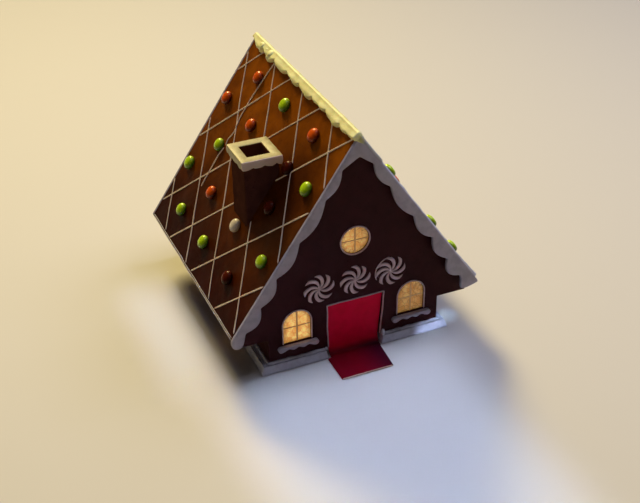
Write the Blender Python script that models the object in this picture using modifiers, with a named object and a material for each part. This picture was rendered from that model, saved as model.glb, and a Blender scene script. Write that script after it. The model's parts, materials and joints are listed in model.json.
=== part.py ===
"""Gingerbread house on its board: dark baked panels, white icing, candy buttons and a red door mat.

Metres, +Z up. The origin is the middle of the board's underside. +Y points from the door to the back
of the house and +X to the right of somebody facing the door. Dimensions below are in millimetres.
"""
import math

import bmesh
import bpy
from mathutils import Vector

MM = 0.001
GAP = 0.3  # clearance kept between pieces that are stuck together

# Roof: two flat panels meeting at the ridge
HOUSE_LENGTH = 198.0
ROOF_HALF_SPAN = 100.0
RIDGE_Z = 184.0
EAVE_Z = 40.2
ROOF_THICKNESS = 3.5
FASCIA_THICKNESS = 2.7
ROOF_LENGTH = HOUSE_LENGTH - 2 * (FASCIA_THICKNESS + GAP)
PITCH = math.atan2(RIDGE_Z - EAVE_Z, ROOF_HALF_SPAN)
SLOPE_LENGTH = math.hypot(ROOF_HALF_SPAN, RIDGE_Z - EAVE_Z)

# Board and walls
BOARD_WIDTH = 154.0
BOARD_DEPTH = 194.0
BOARD_THICKNESS = 6.5
NOTCH_CENTRE_X = -1.3
NOTCH_HALF_WIDTH = 22.2
NOTCH_DEPTH = 9.0
WALL_THICKNESS = 4.0
WALL_HALF_WIDTH = 70.0
GABLE_FACE_Y = 92.0
WALL_FOOT_Z = BOARD_THICKNESS + GAP
EAR_HALF_WIDTH = 94.0  # the gable reaches out under the eaves
EAR_Z = 27.7

# Scalloped icing along the gable edges. A neck is where two lobes meet: its place down the slope and
# its depth below the slope. A lobe hangs between two necks, down to its own depth.
LEFT_NECKS = [(27.3, 3.0), (51.4, 4.5), (87.1, 4.7), (118.2, 4.0), (143.0, 5.9), (165.3, 6.5)]
LEFT_LOBES = [7.7, 9.6, 9.6, 10.1, 11.8]
RIGHT_NECKS = [(26.4, 4.7), (51.5, 5.7), (86.3, 6.5), (113.5, 5.9), (139.4, 7.7), (160.9, 8.4)]
RIGHT_LOBES = [9.0, 10.5, 10.8, 11.8, 14.3]
LOBE_LEAN = 1.1  # above 1 the lobe is fullest on the side of the eave
LOBE_FULLNESS = 0.9
LOBE_STEPS = 9
FASCIA_INNER_APEX_Z = 167.8
FASCIA_TIP_RADIUS = 4.7
FASCIA_TIP_DROP = 3.5  # how far the middle of the left end's drop lies below the eave's corner
FASCIA_TIP_INSET = 4.5
FASCIA_TIP_START = 5.0  # degrees; the drop's arc runs from here round its underside
FASCIA_TIP_END = -170.0
FASCIA_POINT = [(101.8, 36.7), (96.2, 35.0), (91.0, 33.7), (86.4, 34.5), (86.3, 44.3)]  # the right end

# Icing over the ridge: a narrow band on the left slope, long drips on the right one
RIDGE_ICING_THICKNESS = 2.4
RIDGE_ICING_CREST = 2.2
RIDGE_LEFT_WIDTH = 4.0
RIDGE_LEFT_SWING = 3.0
RIDGE_LEFT_PITCH = 24.5
RIDGE_LEFT_FIRST = 24.0
RIDGE_LEFT_FULLNESS = 0.8
RIDGE_RIGHT_WIDTH = 21.0
RIDGE_RIGHT_SWING = 9.0
RIDGE_RIGHT_PITCH = 33.0
RIDGE_STATIONS = 49
RIDGE_EDGE_SLOPE = 0.8

# Windows, sills and the pinwheel sweets
ROUND_WINDOW_Z = 96.6
ROUND_WINDOW_RADIUS = 11.3
ARCH_X = 46.8
ARCH_SILL_Z = 20.4
ARCH_HALF_WIDTH = 11.2
ARCH_TOP_Z = 48.0
PANE_THICKNESS = 1.6
PANE_RECESS = 0.8
SILL_HALF_LENGTH = 16.3
SILL_TOP_Z = 19.9
SILL_MIDDLE_Z = 17.5
SILL_KNOB_RADIUS = 2.4
SILL_KNOB_TOP = 115.0  # degrees, where the right knob's arc leaves the bar's top
SILL_KNOB_FOOT = -120.0
SILL_BAR_DROP = 3.4
SILL_WAVE = 0.8
SILL_WAVE_PITCH = 8.0
SILL_WAVE_STEPS = 14
SILL_THICKNESS = 3.0
PINWHEEL_RADIUS = 12.6
PINWHEEL_PITCH = 29.0
PINWHEEL_Z = 62.6
PINWHEEL_BLADES = 8
PINWHEEL_RINGS = 4
PINWHEEL_HUB = 1.6
PINWHEEL_TWIST = 0.95
PINWHEEL_CURL = 1.5
PINWHEEL_HUB_SHARE = 0.35  # how much of the circle the blades fill at the hub
PINWHEEL_RIM_SHARE = 0.5
PINWHEEL_THICKNESS = 0.8

# Door: one strip that hangs in the doorway and runs out over the ground as a mat
DOORWAY_TOP = (0.6, 23.1)  # middle X and half width
DOORWAY_FOOT = (-0.6, 21.0)
DOOR_TOP_Z = 45.3
STRIP_THICKNESS = 1.3
STRIP_BACK = 2.0  # how far the strip's middle stands behind the gable's face
STRIP_BEND_RADIUS = 7.0
STRIP_BEND_STEPS = 6
STRIP_TOP = (0.6, 22.7)  # middle X and half width, here and below
STRIP_BEND_START = (-0.6, 20.6)
STRIP_BEND_END = (-1.2, 20.6)
MAT_BACK = (-3.1, 21.8)
MAT_FRONT = (-4.2, 20.9)
MAT_FRONT_Y = -124.8
MAT_WIDENS_FROM = 0.4  # outside the board's front edge the strip steps out to the mat's width
MAT_WIDENS_TO = 1.0

# Chimney on the left slope
CHIMNEY_X = -49.5
CHIMNEY_Y = -23.2
STACK_WIDTH = 27.6
FLUE_WIDTH = 18.0
CAP_WIDTH = 32.0
CAP_DEPTH = 33.4
CAP_TOP_Z = 148.3
CAP_HEIGHT = 5.6
CAP_CORNER_RADIUS = 1.0

# Candy buttons, one in each diamond of the icing lattice
CANDY_RADIUS = 5.6
CANDY_HEIGHT = 4.6
CANDY_STEPS = 14
CANDY_WELD = 0.05
# shares of the candy's radius and height, from the middle of its foot up over the dome
CANDY_PROFILE = [(0.0, 0.0), (0.88, 0.0), (1.0, 0.3), (0.86, 0.7), (0.5, 0.93), (0.0, 1.0)]
LATTICE_PITCH_Y = 54.8
LATTICE_FIRST_Y = 19.5
LATTICE_FIRST_V = 23.5
LATTICE_PITCH_V = 31.1
CANDY_BESIDE_CHIMNEY_Y = 54.0  # from the front edge of the roof
CANDY_FRONT_CORNER_Y = 17.0

ARC_STEP = math.radians(15)
WELD = 0.01  # corners of a drawing closer than this are one corner


def clear_scene():
    for obj in list(bpy.data.objects):
        bpy.data.objects.remove(obj, do_unlink=True)


def make_collection(name):
    collection = bpy.data.collections.new(name)
    bpy.context.scene.collection.children.link(collection)
    return collection


def make_material(name, colour, roughness, metallic=0.0):
    material = bpy.data.materials.new(name)
    material.use_nodes = True
    shader = material.node_tree.nodes["Principled BSDF"]
    shader.inputs["Base Color"].default_value = (*colour, 1.0)
    shader.inputs["Roughness"].default_value = roughness
    shader.inputs["Metallic"].default_value = metallic
    material.diffuse_color = (*colour, 1.0)
    return material


def add_part(name, mesh, material):
    obj = bpy.data.objects.new(name, mesh)
    mesh.materials.clear()
    mesh.materials.append(material)
    house.objects.link(obj)
    return obj


def arc(centre, radius, start, end):
    """Points on an arc from one angle to another, in radians, both ends included."""
    steps = max(2, math.ceil(abs(end - start) / ARC_STEP))
    angles = [start + (end - start) * i / steps for i in range(steps + 1)]
    return [(centre[0] + radius * math.cos(a), centre[1] + radius * math.sin(a)) for a in angles]


def plate(name, outlines, thickness, material):
    """A flat plate of one outer outline and any holes, drawn in XY and as thick as stated along Z."""
    curve = bpy.data.curves.new(name, "CURVE")
    curve.dimensions = "2D"
    curve.fill_mode = "BOTH"
    curve.extrude = thickness * MM / 2
    for outline in outlines:
        spline = curve.splines.new("POLY")
        spline.points.add(len(outline) - 1)
        for point, (x, y) in zip(spline.points, outline):
            point.co = (x * MM, y * MM, 0.0, 1.0)
        spline.use_cyclic_u = True
    drawing = bpy.data.objects.new(name + "_drawing", curve)
    house.objects.link(drawing)
    depsgraph = bpy.context.evaluated_depsgraph_get()
    mesh = bpy.data.meshes.new_from_object(drawing.evaluated_get(depsgraph))
    bpy.data.objects.remove(drawing, do_unlink=True)
    shape = bmesh.new()
    shape.from_mesh(mesh)
    bmesh.ops.remove_doubles(shape, verts=shape.verts, dist=WELD * MM)
    bmesh.ops.recalc_face_normals(shape, faces=shape.faces)
    shape.to_mesh(mesh)
    shape.free()
    return add_part(name, mesh, material)


def upright(obj, y):
    """Stand a plate up, so that its drawing's XY becomes XZ, with its middle at the given Y."""
    obj.rotation_euler.x = math.pi / 2
    obj.location.y = y * MM
    return obj


def loft(name, sections, material):
    """Skin a row of closed sections that have the same number of points, and cap both ends."""
    shape = bmesh.new()
    rings = [[shape.verts.new(Vector(point) * MM) for point in section] for section in sections]
    count = len(rings[0])
    for lower, upper in zip(rings, rings[1:]):
        for i in range(count):
            j = (i + 1) % count
            shape.faces.new((lower[i], lower[j], upper[j], upper[i]))
    shape.faces.new(rings[0][::-1])
    shape.faces.new(rings[-1])
    bmesh.ops.recalc_face_normals(shape, faces=shape.faces)
    mesh = bpy.data.meshes.new(name)
    shape.to_mesh(mesh)
    shape.free()
    return add_part(name, mesh, material)


def roof_point(side, along, lift):
    """XZ of a point on a slope: how far down from the ridge, and how far out from the panel's top."""
    x = side * (along * math.cos(PITCH) + lift * math.sin(PITCH))
    z = RIDGE_Z - along * math.sin(PITCH) + lift * math.cos(PITCH)
    return x, z


def build_board():
    half_width = BOARD_WIDTH / 2
    half_depth = BOARD_DEPTH / 2
    notch_left = NOTCH_CENTRE_X - NOTCH_HALF_WIDTH
    notch_right = NOTCH_CENTRE_X + NOTCH_HALF_WIDTH
    notch_back = -half_depth + NOTCH_DEPTH
    outline = [
        (-half_width, -half_depth), (notch_left, -half_depth), (notch_left, notch_back),
        (notch_right, notch_back), (notch_right, -half_depth), (half_width, -half_depth),
        (half_width, half_depth), (-half_width, half_depth),
    ]
    board = plate("board", [outline], BOARD_THICKNESS, board_icing)
    board.location.z = BOARD_THICKNESS * MM / 2


def arch_outline(centre_x, inset):
    """An arched window: straight jambs under a half circle, drawn smaller by the inset."""
    radius = ARCH_HALF_WIDTH - inset
    spring_z = ARCH_TOP_Z - ARCH_HALF_WIDTH
    foot_z = ARCH_SILL_Z + inset
    jambs = [(centre_x - radius, foot_z), (centre_x + radius, foot_z)]
    return jambs + arc((centre_x, spring_z), radius, 0.0, math.pi)


def round_outline(inset):
    return arc((0.0, ROUND_WINDOW_Z), ROUND_WINDOW_RADIUS - inset, 0.0, 2 * math.pi)[:-1]


def build_gable(name, side, with_door):
    """A gable wall with its windows. side is -1 at the front and 1 at the back."""
    under_roof = ROOF_THICKNESS + GAP
    apex_z = RIDGE_Z - under_roof / math.cos(PITCH)
    ear_top_z = apex_z - EAR_HALF_WIDTH * math.tan(PITCH)
    right_half = [
        (0.0, apex_z), (EAR_HALF_WIDTH, ear_top_z), (EAR_HALF_WIDTH, EAR_Z),
        (WALL_HALF_WIDTH, EAR_Z), (WALL_HALF_WIDTH, WALL_FOOT_Z),
    ]
    left_half = [(-x, z) for x, z in reversed(right_half[1:])]
    doorway = []
    if with_door:
        top_x, top_half_width = DOORWAY_TOP
        foot_x, foot_half_width = DOORWAY_FOOT
        doorway = [
            (foot_x + foot_half_width, WALL_FOOT_Z), (top_x + top_half_width, DOOR_TOP_Z),
            (top_x - top_half_width, DOOR_TOP_Z), (foot_x - foot_half_width, WALL_FOOT_Z),
        ]
    openings = [round_outline(0.0), arch_outline(-ARCH_X, 0.0), arch_outline(ARCH_X, 0.0)]
    wall = plate(name, [right_half + doorway + left_half] + openings, WALL_THICKNESS, dark_gingerbread)
    upright(wall, side * (GABLE_FACE_Y - WALL_THICKNESS / 2))


def build_side_wall(name, side):
    """A long wall between the gables, with its top cut to the slope."""
    outer_x = WALL_HALF_WIDTH
    inner_x = outer_x - WALL_THICKNESS
    under_roof = (ROOF_THICKNESS + GAP) / math.cos(PITCH)
    outer_top = RIDGE_Z - under_roof - outer_x * math.tan(PITCH)
    inner_top = RIDGE_Z - under_roof - inner_x * math.tan(PITCH)
    outline = [
        (side * outer_x, WALL_FOOT_Z), (side * outer_x, outer_top),
        (side * inner_x, inner_top), (side * inner_x, WALL_FOOT_Z),
    ]
    length = 2 * (GABLE_FACE_Y - WALL_THICKNESS - GAP)
    upright(plate(name, [outline], length, dark_gingerbread), 0.0)


def build_roof_panel(name, side):
    ridge_x = GAP / 2
    ridge_drop = ridge_x * math.tan(PITCH)
    thickness_at_ridge = ROOF_THICKNESS / math.cos(PITCH)
    outline = [
        (side * ridge_x, RIDGE_Z - ridge_drop),
        roof_point(side, SLOPE_LENGTH, 0.0),
        roof_point(side, SLOPE_LENGTH, -ROOF_THICKNESS),
        (side * ridge_x, RIDGE_Z - ridge_drop - thickness_at_ridge),
    ]
    upright(plate(name, [outline], ROOF_LENGTH, roof_gingerbread), 0.0)


def scallops(side, necks, lobes):
    """Points along the fascia's lower edge, from its first neck near the ridge down to its last one."""
    points = []
    for (start, start_depth), (end, end_depth), lobe in zip(necks, necks[1:], lobes):
        for i in range(LOBE_STEPS):
            share = i / LOBE_STEPS
            neck = start_depth + (end_depth - start_depth) * share
            bulge = math.sin(math.pi * share ** LOBE_LEAN) ** LOBE_FULLNESS
            depth = neck + (lobe - neck) * bulge
            points.append(roof_point(side, start + (end - start) * share, -depth))
    last, last_depth = necks[-1]
    return points + [roof_point(side, last, -last_depth)]


def build_fascia(name, side):
    """Icing along both gable edges: straight on top, scalloped below. It ends in a point at the right
    eave. At the left eave it ends in a round drop in front, and square with the roof panel at the back."""
    eave_x, eave_z = roof_point(1, SLOPE_LENGTH, 0.0)
    drop = (eave_x - FASCIA_TIP_INSET, eave_z - FASCIA_TIP_DROP)
    drop_points = arc(drop, FASCIA_TIP_RADIUS, math.radians(FASCIA_TIP_START), math.radians(FASCIA_TIP_END))
    square_end = [roof_point(1, SLOPE_LENGTH, -ROOF_THICKNESS)]
    end_points = drop_points if side < 0 else square_end
    right = [(eave_x, eave_z)] + FASCIA_POINT + scallops(1, RIGHT_NECKS, RIGHT_LOBES)[::-1]
    left = [(-eave_x, eave_z)] + [(-x, z) for x, z in end_points]
    left += scallops(-1, LEFT_NECKS, LEFT_LOBES)[::-1]
    outline = [(0.0, RIDGE_Z)] + right + [(0.0, FASCIA_INNER_APEX_Z)] + left[::-1]
    middle_y = HOUSE_LENGTH / 2 - FASCIA_THICKNESS / 2
    upright(plate(name, [outline], FASCIA_THICKNESS, icing), side * middle_y)


def ridge_widths(y):
    """How far the ridge icing reaches down the left and the right slope."""
    from_front = y + HOUSE_LENGTH / 2
    wave = abs(math.sin(math.pi * (from_front - RIDGE_LEFT_FIRST) / RIDGE_LEFT_PITCH))
    left = RIDGE_LEFT_WIDTH + RIDGE_LEFT_SWING * wave ** RIDGE_LEFT_FULLNESS
    right = RIDGE_RIGHT_WIDTH + RIDGE_RIGHT_SWING * math.cos(2 * math.pi * from_front / RIDGE_RIGHT_PITCH)
    return left, right


def build_ridge_icing():
    """An angle of icing that sits over the ridge."""
    sections = []
    half_length = HOUSE_LENGTH / 2
    for i in range(RIDGE_STATIONS):
        y = -half_length + HOUSE_LENGTH * i / (RIDGE_STATIONS - 1)
        left, right = ridge_widths(y)
        lift = GAP + RIDGE_ICING_THICKNESS
        profile = [
            roof_point(-1, left, GAP), roof_point(-1, left - RIDGE_EDGE_SLOPE, lift),
            (0.0, RIDGE_Z + RIDGE_ICING_CREST),
            roof_point(1, right - RIDGE_EDGE_SLOPE, lift), roof_point(1, right, GAP),
            (0.0, RIDGE_Z + GAP / math.cos(PITCH)),
        ]
        sections.append([(x, y, z) for x, z in profile])
    loft("ridge_icing", sections, cream_icing)


def build_panes(prefix, side):
    """Sugar panes set a little back from the gable's face."""
    middle_y = side * (GABLE_FACE_Y - PANE_RECESS - PANE_THICKNESS / 2)
    shapes = {
        "round": round_outline(GAP),
        "left": arch_outline(-ARCH_X, GAP),
        "right": arch_outline(ARCH_X, GAP),
    }
    for place, outline in shapes.items():
        upright(plate(f"{prefix}_pane_{place}", [outline], PANE_THICKNESS, sugar_pane), middle_y)


def sill_outline(centre_x):
    """A bar with a knob at each end and a wavy underside."""
    knob_x = SILL_HALF_LENGTH - SILL_KNOB_RADIUS
    right_end = (centre_x + knob_x, SILL_MIDDLE_Z)
    left_end = (centre_x - knob_x, SILL_MIDDLE_Z)
    top = math.radians(SILL_KNOB_TOP)
    foot = math.radians(SILL_KNOB_FOOT)
    right_knob = arc(right_end, SILL_KNOB_RADIUS, top, foot)
    left_knob = arc(left_end, SILL_KNOB_RADIUS, -math.pi - foot, -math.pi - top)
    reach = knob_x - SILL_KNOB_RADIUS
    underside = []
    for i in range(SILL_WAVE_STEPS + 1):
        x = reach - 2 * reach * i / SILL_WAVE_STEPS
        z = SILL_TOP_Z - SILL_BAR_DROP + SILL_WAVE * math.cos(2 * math.pi * x / SILL_WAVE_PITCH)
        underside.append((centre_x + x, z))
    return right_knob + underside + left_knob


def build_sills(prefix, side):
    middle_y = side * (GABLE_FACE_Y + GAP + SILL_THICKNESS / 2)
    for place, x in (("left", -ARCH_X), ("right", ARCH_X)):
        upright(plate(f"{prefix}_sill_{place}", [sill_outline(x)], SILL_THICKNESS, icing), middle_y)


def pinwheel_outline(centre_x):
    """Blades that start at a small hub, widen towards the rim and sweep round it."""
    blade_length = PINWHEEL_RADIUS - PINWHEEL_HUB
    radii = [PINWHEEL_HUB + blade_length * i / PINWHEEL_RINGS for i in range(PINWHEEL_RINGS + 1)]
    points = []
    for blade in range(PINWHEEL_BLADES):
        middle = 2 * math.pi * blade / PINWHEEL_BLADES
        edges = []
        for radius in radii:
            share = radius / PINWHEEL_RADIUS
            sweep = middle + PINWHEEL_TWIST * share ** PINWHEEL_CURL
            filled = PINWHEEL_HUB_SHARE + (PINWHEEL_RIM_SHARE - PINWHEEL_HUB_SHARE) * share
            half_angle = math.pi / PINWHEEL_BLADES * filled
            edges.append((radius, sweep - half_angle, sweep + half_angle))
        going_out = [(radius, first) for radius, first, _ in edges]
        coming_in = [(radius, last) for radius, _, last in reversed(edges)]
        for radius, angle in going_out + coming_in:
            points.append((centre_x + radius * math.cos(angle), PINWHEEL_Z + radius * math.sin(angle)))
    return points


def build_pinwheels(prefix, side):
    middle_y = side * (GABLE_FACE_Y + GAP + PINWHEEL_THICKNESS / 2)
    for place, x in (("left", -PINWHEEL_PITCH), ("middle", 0.0), ("right", PINWHEEL_PITCH)):
        pinwheel = plate(f"{prefix}_pinwheel_{place}", [pinwheel_outline(x)], PINWHEEL_THICKNESS, icing)
        upright(pinwheel, middle_y)


def build_door_mat():
    """The door and mat: from the door's top edge down through the board's notch to the mat's front."""
    half = STRIP_THICKNESS / 2
    leaf_y = -(GABLE_FACE_Y - STRIP_BACK)
    bend_y = leaf_y - STRIP_BEND_RADIUS
    bend_z = half + STRIP_BEND_RADIUS
    board_front_y = -BOARD_DEPTH / 2
    flat = math.pi / 2
    # each station: Y, Z, how far the strip has turned from upright, and its (middle X, half width)
    stations = [(leaf_y, DOOR_TOP_Z - GAP, 0.0, STRIP_TOP)]
    for i in range(STRIP_BEND_STEPS + 1):
        share = i / STRIP_BEND_STEPS
        turn = flat * share
        y = bend_y + STRIP_BEND_RADIUS * math.cos(turn)
        z = bend_z - STRIP_BEND_RADIUS * math.sin(turn)
        across = tuple(a + (b - a) * share for a, b in zip(STRIP_BEND_START, STRIP_BEND_END))
        stations.append((y, z, turn, across))
    stations += [
        (board_front_y - MAT_WIDENS_FROM, half, flat, STRIP_BEND_END),
        (board_front_y - MAT_WIDENS_TO, half, flat, MAT_BACK),
        (MAT_FRONT_Y, half, flat, MAT_FRONT),
    ]
    sections = []
    for y, z, turn, (middle_x, half_width) in stations:
        out_y = -math.cos(turn) * half
        out_z = math.sin(turn) * half
        left = middle_x - half_width
        right = middle_x + half_width
        sections.append([
            (left, y + out_y, z + out_z), (right, y + out_y, z + out_z),
            (right, y - out_y, z - out_z), (left, y - out_y, z - out_z),
        ])
    loft("door_mat", sections, red_door)


def rounded_rectangle(width, depth, radius):
    points = []
    for quarter, (sx, sy) in enumerate(((1, 1), (-1, 1), (-1, -1), (1, -1))):
        centre = (sx * (width / 2 - radius), sy * (depth / 2 - radius))
        points += arc(centre, radius, quarter * math.pi / 2, (quarter + 1) * math.pi / 2)
    return points


def build_chimney():
    """A square tube whose foot is cut to the slope, and the icing ring on top of it."""
    stack_top = CAP_TOP_Z - CAP_HEIGHT - GAP
    length = stack_top - EAVE_Z
    square = [(-1, -1), (1, -1), (1, 1), (-1, 1)]
    outer = [(x * STACK_WIDTH / 2, y * STACK_WIDTH / 2) for x, y in square]
    inner = [(x * FLUE_WIDTH / 2, y * FLUE_WIDTH / 2) for x, y in square]
    stack = plate("chimney_stack", [outer, inner], length, roof_gingerbread)
    stack.location = Vector((CHIMNEY_X, CHIMNEY_Y, stack_top - length / 2)) * MM
    for vertex in stack.data.vertices:
        if vertex.co.z < 0:
            x = vertex.co.x / MM + CHIMNEY_X
            slope_z = RIDGE_Z + GAP / math.cos(PITCH) - abs(x) * math.tan(PITCH)
            vertex.co.z = slope_z * MM - stack.location.z

    rim = rounded_rectangle(CAP_WIDTH, CAP_DEPTH, CAP_CORNER_RADIUS)
    hole = rounded_rectangle(FLUE_WIDTH, FLUE_WIDTH, CAP_CORNER_RADIUS / 2)
    cap = plate("chimney_cap", [rim, hole], CAP_HEIGHT, cream_icing)
    cap.location = Vector((CHIMNEY_X, CHIMNEY_Y, CAP_TOP_Z - CAP_HEIGHT / 2)) * MM


def build_candy(name, side, from_front, along, material):
    """A domed button: a turned profile, set square on the slope."""
    mesh = bpy.data.meshes.new(name)
    points = [(r * CANDY_RADIUS * MM, 0.0, h * CANDY_HEIGHT * MM) for r, h in CANDY_PROFILE]
    edges = [(i, i + 1) for i in range(len(points) - 1)]
    mesh.from_pydata(points, edges, [])
    candy = add_part(name, mesh, material)
    turn = candy.modifiers.new("turn", "SCREW")
    turn.steps = CANDY_STEPS
    turn.render_steps = CANDY_STEPS
    turn.use_merge_vertices = True
    turn.merge_threshold = CANDY_WELD * MM
    turn.use_normal_calculate = True
    x, z = roof_point(side, along, GAP)
    candy.location = Vector((x, -HOUSE_LENGTH / 2 + from_front, z)) * MM
    candy.rotation_euler.y = side * PITCH


def build_candies():
    """Rows down each slope; every second row is shifted by half a diamond. Letters name the colours."""
    wide = [LATTICE_FIRST_Y + LATTICE_PITCH_Y * i for i in range(4)]
    narrow = [LATTICE_FIRST_Y + LATTICE_PITCH_Y * (i + 0.5) for i in range(3)]
    layouts = {
        -1: [
            (0, narrow, "RGR"),
            (1, [wide[0], CANDY_BESIDE_CHIMNEY_Y, *wide[2:]], "GRRR"),
            (2, narrow, "RRG"),
            (3, wide, "GWRG"),
            (4, narrow, "RGG"),
        ],
        1: [
            (1, wide, "GRWR"),
            (2, narrow, "RGR"),
            (3, wide, "GRRG"),
            (4, [CANDY_FRONT_CORNER_Y, *narrow[1:]], "GRG"),
        ],
    }
    colours = {"G": green_candy, "R": red_candy, "W": white_candy}
    for side, rows in layouts.items():
        slope = "left" if side < 0 else "right"
        for row, places, letters in rows:
            along = LATTICE_FIRST_V + LATTICE_PITCH_V * row
            for i, (from_front, letter) in enumerate(zip(places, letters)):
                name = f"candy_{slope}_{row + 1}{'abcd'[i]}"
                build_candy(name, side, from_front, along, colours[letter])


clear_scene()
house = make_collection("gingerbread_house")
dark_gingerbread = make_material("dark_gingerbread", (0.055, 0.026, 0.024), 0.55)
roof_gingerbread = make_material("roof_gingerbread", (0.16, 0.07, 0.025), 0.45)
icing = make_material("icing", (0.72, 0.70, 0.72), 0.5)
board_icing = make_material("board_icing", (0.70, 0.70, 0.72), 0.45)
cream_icing = make_material("cream_icing", (0.80, 0.74, 0.52), 0.5)
red_door = make_material("red_door", (0.45, 0.01, 0.04), 0.35)
sugar_pane = make_material("sugar_pane", (0.95, 0.65, 0.20), 0.2)
green_candy = make_material("green_candy", (0.16, 0.50, 0.06), 0.25)
red_candy = make_material("red_candy", (0.50, 0.09, 0.03), 0.25)
white_candy = make_material("white_candy", (0.72, 0.66, 0.58), 0.3)

build_board()
build_gable("front_wall", -1, with_door=True)
build_gable("back_wall", 1, with_door=False)
build_side_wall("side_wall_left", -1)
build_side_wall("side_wall_right", 1)
build_roof_panel("roof_left", -1)
build_roof_panel("roof_right", 1)
build_fascia("front_fascia", -1)
build_fascia("back_fascia", 1)
build_ridge_icing()
build_door_mat()
build_chimney()
for wall_name, wall_side in (("front", -1), ("back", 1)):
    build_panes(wall_name, wall_side)
    build_sills(wall_name, wall_side)
    build_pinwheels(wall_name, wall_side)
build_candies()
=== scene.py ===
import json
import math

import bmesh
import bpy
import numpy as np
from mathutils import Matrix, Vector
from mathutils.geometry import delaunay_2d_cdt


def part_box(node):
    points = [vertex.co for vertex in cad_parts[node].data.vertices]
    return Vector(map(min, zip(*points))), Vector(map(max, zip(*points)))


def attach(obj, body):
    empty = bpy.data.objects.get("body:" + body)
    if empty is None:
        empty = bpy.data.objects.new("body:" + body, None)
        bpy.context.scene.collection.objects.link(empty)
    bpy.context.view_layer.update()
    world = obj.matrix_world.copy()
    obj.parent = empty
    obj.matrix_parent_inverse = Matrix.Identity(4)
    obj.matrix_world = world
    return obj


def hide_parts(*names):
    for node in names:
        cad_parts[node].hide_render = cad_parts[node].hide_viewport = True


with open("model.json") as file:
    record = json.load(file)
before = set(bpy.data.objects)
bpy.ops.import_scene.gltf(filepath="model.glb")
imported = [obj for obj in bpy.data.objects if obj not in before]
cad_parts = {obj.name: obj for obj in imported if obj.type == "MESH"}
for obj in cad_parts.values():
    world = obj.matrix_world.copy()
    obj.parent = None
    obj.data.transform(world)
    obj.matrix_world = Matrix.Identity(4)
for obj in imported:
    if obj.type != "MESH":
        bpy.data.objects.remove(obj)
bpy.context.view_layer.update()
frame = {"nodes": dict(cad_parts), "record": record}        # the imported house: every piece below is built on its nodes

mm = 0.001  # shapes are worked out in millimetres, and newPiece puts them into meshes in metres
scene = bpy.context.scene
left, right, front, back, top = np.array([(-1, 0, 0), (1, 0, 0), (0, -1, 0), (0, 1, 0), (0, 0, 1)], float)


def boxOf(node):
    low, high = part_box(node)
    return np.array(low) / mm, np.array(high) / mm


# the roof's own measures, read from the frame
slopeMesh = frame["nodes"]["roof_right"].data
slopeFace = max(slopeMesh.polygons, key=lambda face: face.area if face.normal.z > 0.1 else 0.0)
pitch = math.atan2(slopeFace.normal.x, slopeFace.normal.z)
slopeSine, slopeCosine = math.sin(pitch), math.cos(pitch)
ridgeHeight = slopeMesh.vertices[slopeFace.vertices[0]].co.dot(slopeFace.normal) / slopeFace.normal.z / mm
roofLow, roofHigh = boxOf("roof_right")
slopeLength = roofHigh[0] / slopeCosine
roofFront = boxOf("front_fascia")[0][1]
roofBack = boxOf("back_fascia")[1][1]
roofLength = roofBack - roofFront


def onSlope(side, along, lift, y):
    # side is -1 on the left; along runs down from the ridge, lift stands off the panel's face
    x = side * (along * slopeCosine + lift * slopeSine)
    z = ridgeHeight - along * slopeSine + lift * slopeCosine
    return np.stack(np.broadcast_arrays(x, y, z), -1)


def slopeNormal(side):
    return np.array([side * slopeSine, 0.0, slopeCosine])


# camera, lights and floor
camera = {"azimuth": 22.92, "elevation": 32.54, "roll": -0.84, "distance": 920.0, "lens": 67.14,
          "target": (-6.4, -39.6, 58.3), "shift": 0.0017}
lamps = {
    # name: place, aim, width, depth, how far its rays fan out in degrees, power, colour
    "warmBack": ((96, 3340, 2400), (-120, 60, 0), 1300, 1200, 34, 8.5, (1.0, 0.80, 0.34)),
    "coolSide": ((990, 100, 1375), (30, -120, 0), 700, 700, 180, 12.0, (0.62, 0.64, 0.82)),
    "coolTop": ((0, 100, 2200), (0, 0, 60), 1500, 1500, 180, 7.5, (0.62, 0.635, 0.82)),
    "coolPool": ((-25, -305, 1100), (-25, -305, 0), 175, 400, 4.2, 0.118, (0.56, 0.70, 1.0)),
    "coolCorner": ((310, -541, 634), (75, -99, 13), 40, 7, 1.0, 0.0013, (0.55, 0.68, 1.0)),
    "coolStreak": ((-124, -22, 1000), (-124, -22, 0), 24, 150, 4.0, 0.0065, (0.60, 0.74, 1.0)),
}
studio = {"world": (1.0, 0.9, 0.85), "worldStrength": 0.03,
          "floor": (0.76, 0.735, 0.70), "floorRoughness": 0.7, "floorHalf": 6000.0}


def aimed(place, direction, roll=0.0):
    # a matrix at 'place' that looks along 'direction', turned by roll degrees round it
    turned = Vector(direction).to_track_quat("-Z", "Y").to_matrix()
    turned = turned @ Matrix.Rotation(math.radians(roll), 3, "Z")
    return Matrix.Translation(Vector(place) * mm) @ turned.to_4x4()


def placeInScene(name, data):
    thing = bpy.data.objects.new(name, data)
    scene.collection.objects.link(thing)
    return thing


def makeCamera():
    azimuth, elevation = math.radians(camera["azimuth"]), math.radians(camera["elevation"])
    ahead = Vector((math.sin(azimuth) * math.cos(elevation), math.cos(azimuth) * math.cos(elevation),
                    -math.sin(elevation)))
    lens = bpy.data.cameras.new("camera")
    lens.lens, lens.sensor_width, lens.sensor_fit = camera["lens"], 36.0, "HORIZONTAL"
    lens.shift_x = camera["shift"]
    lens.clip_start, lens.clip_end = 0.02, 50.0
    holder = placeInScene("camera", lens)
    place = Vector(camera["target"]) - camera["distance"] * ahead
    holder.matrix_world = aimed(place, ahead, camera["roll"])
    scene.camera = holder


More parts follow.
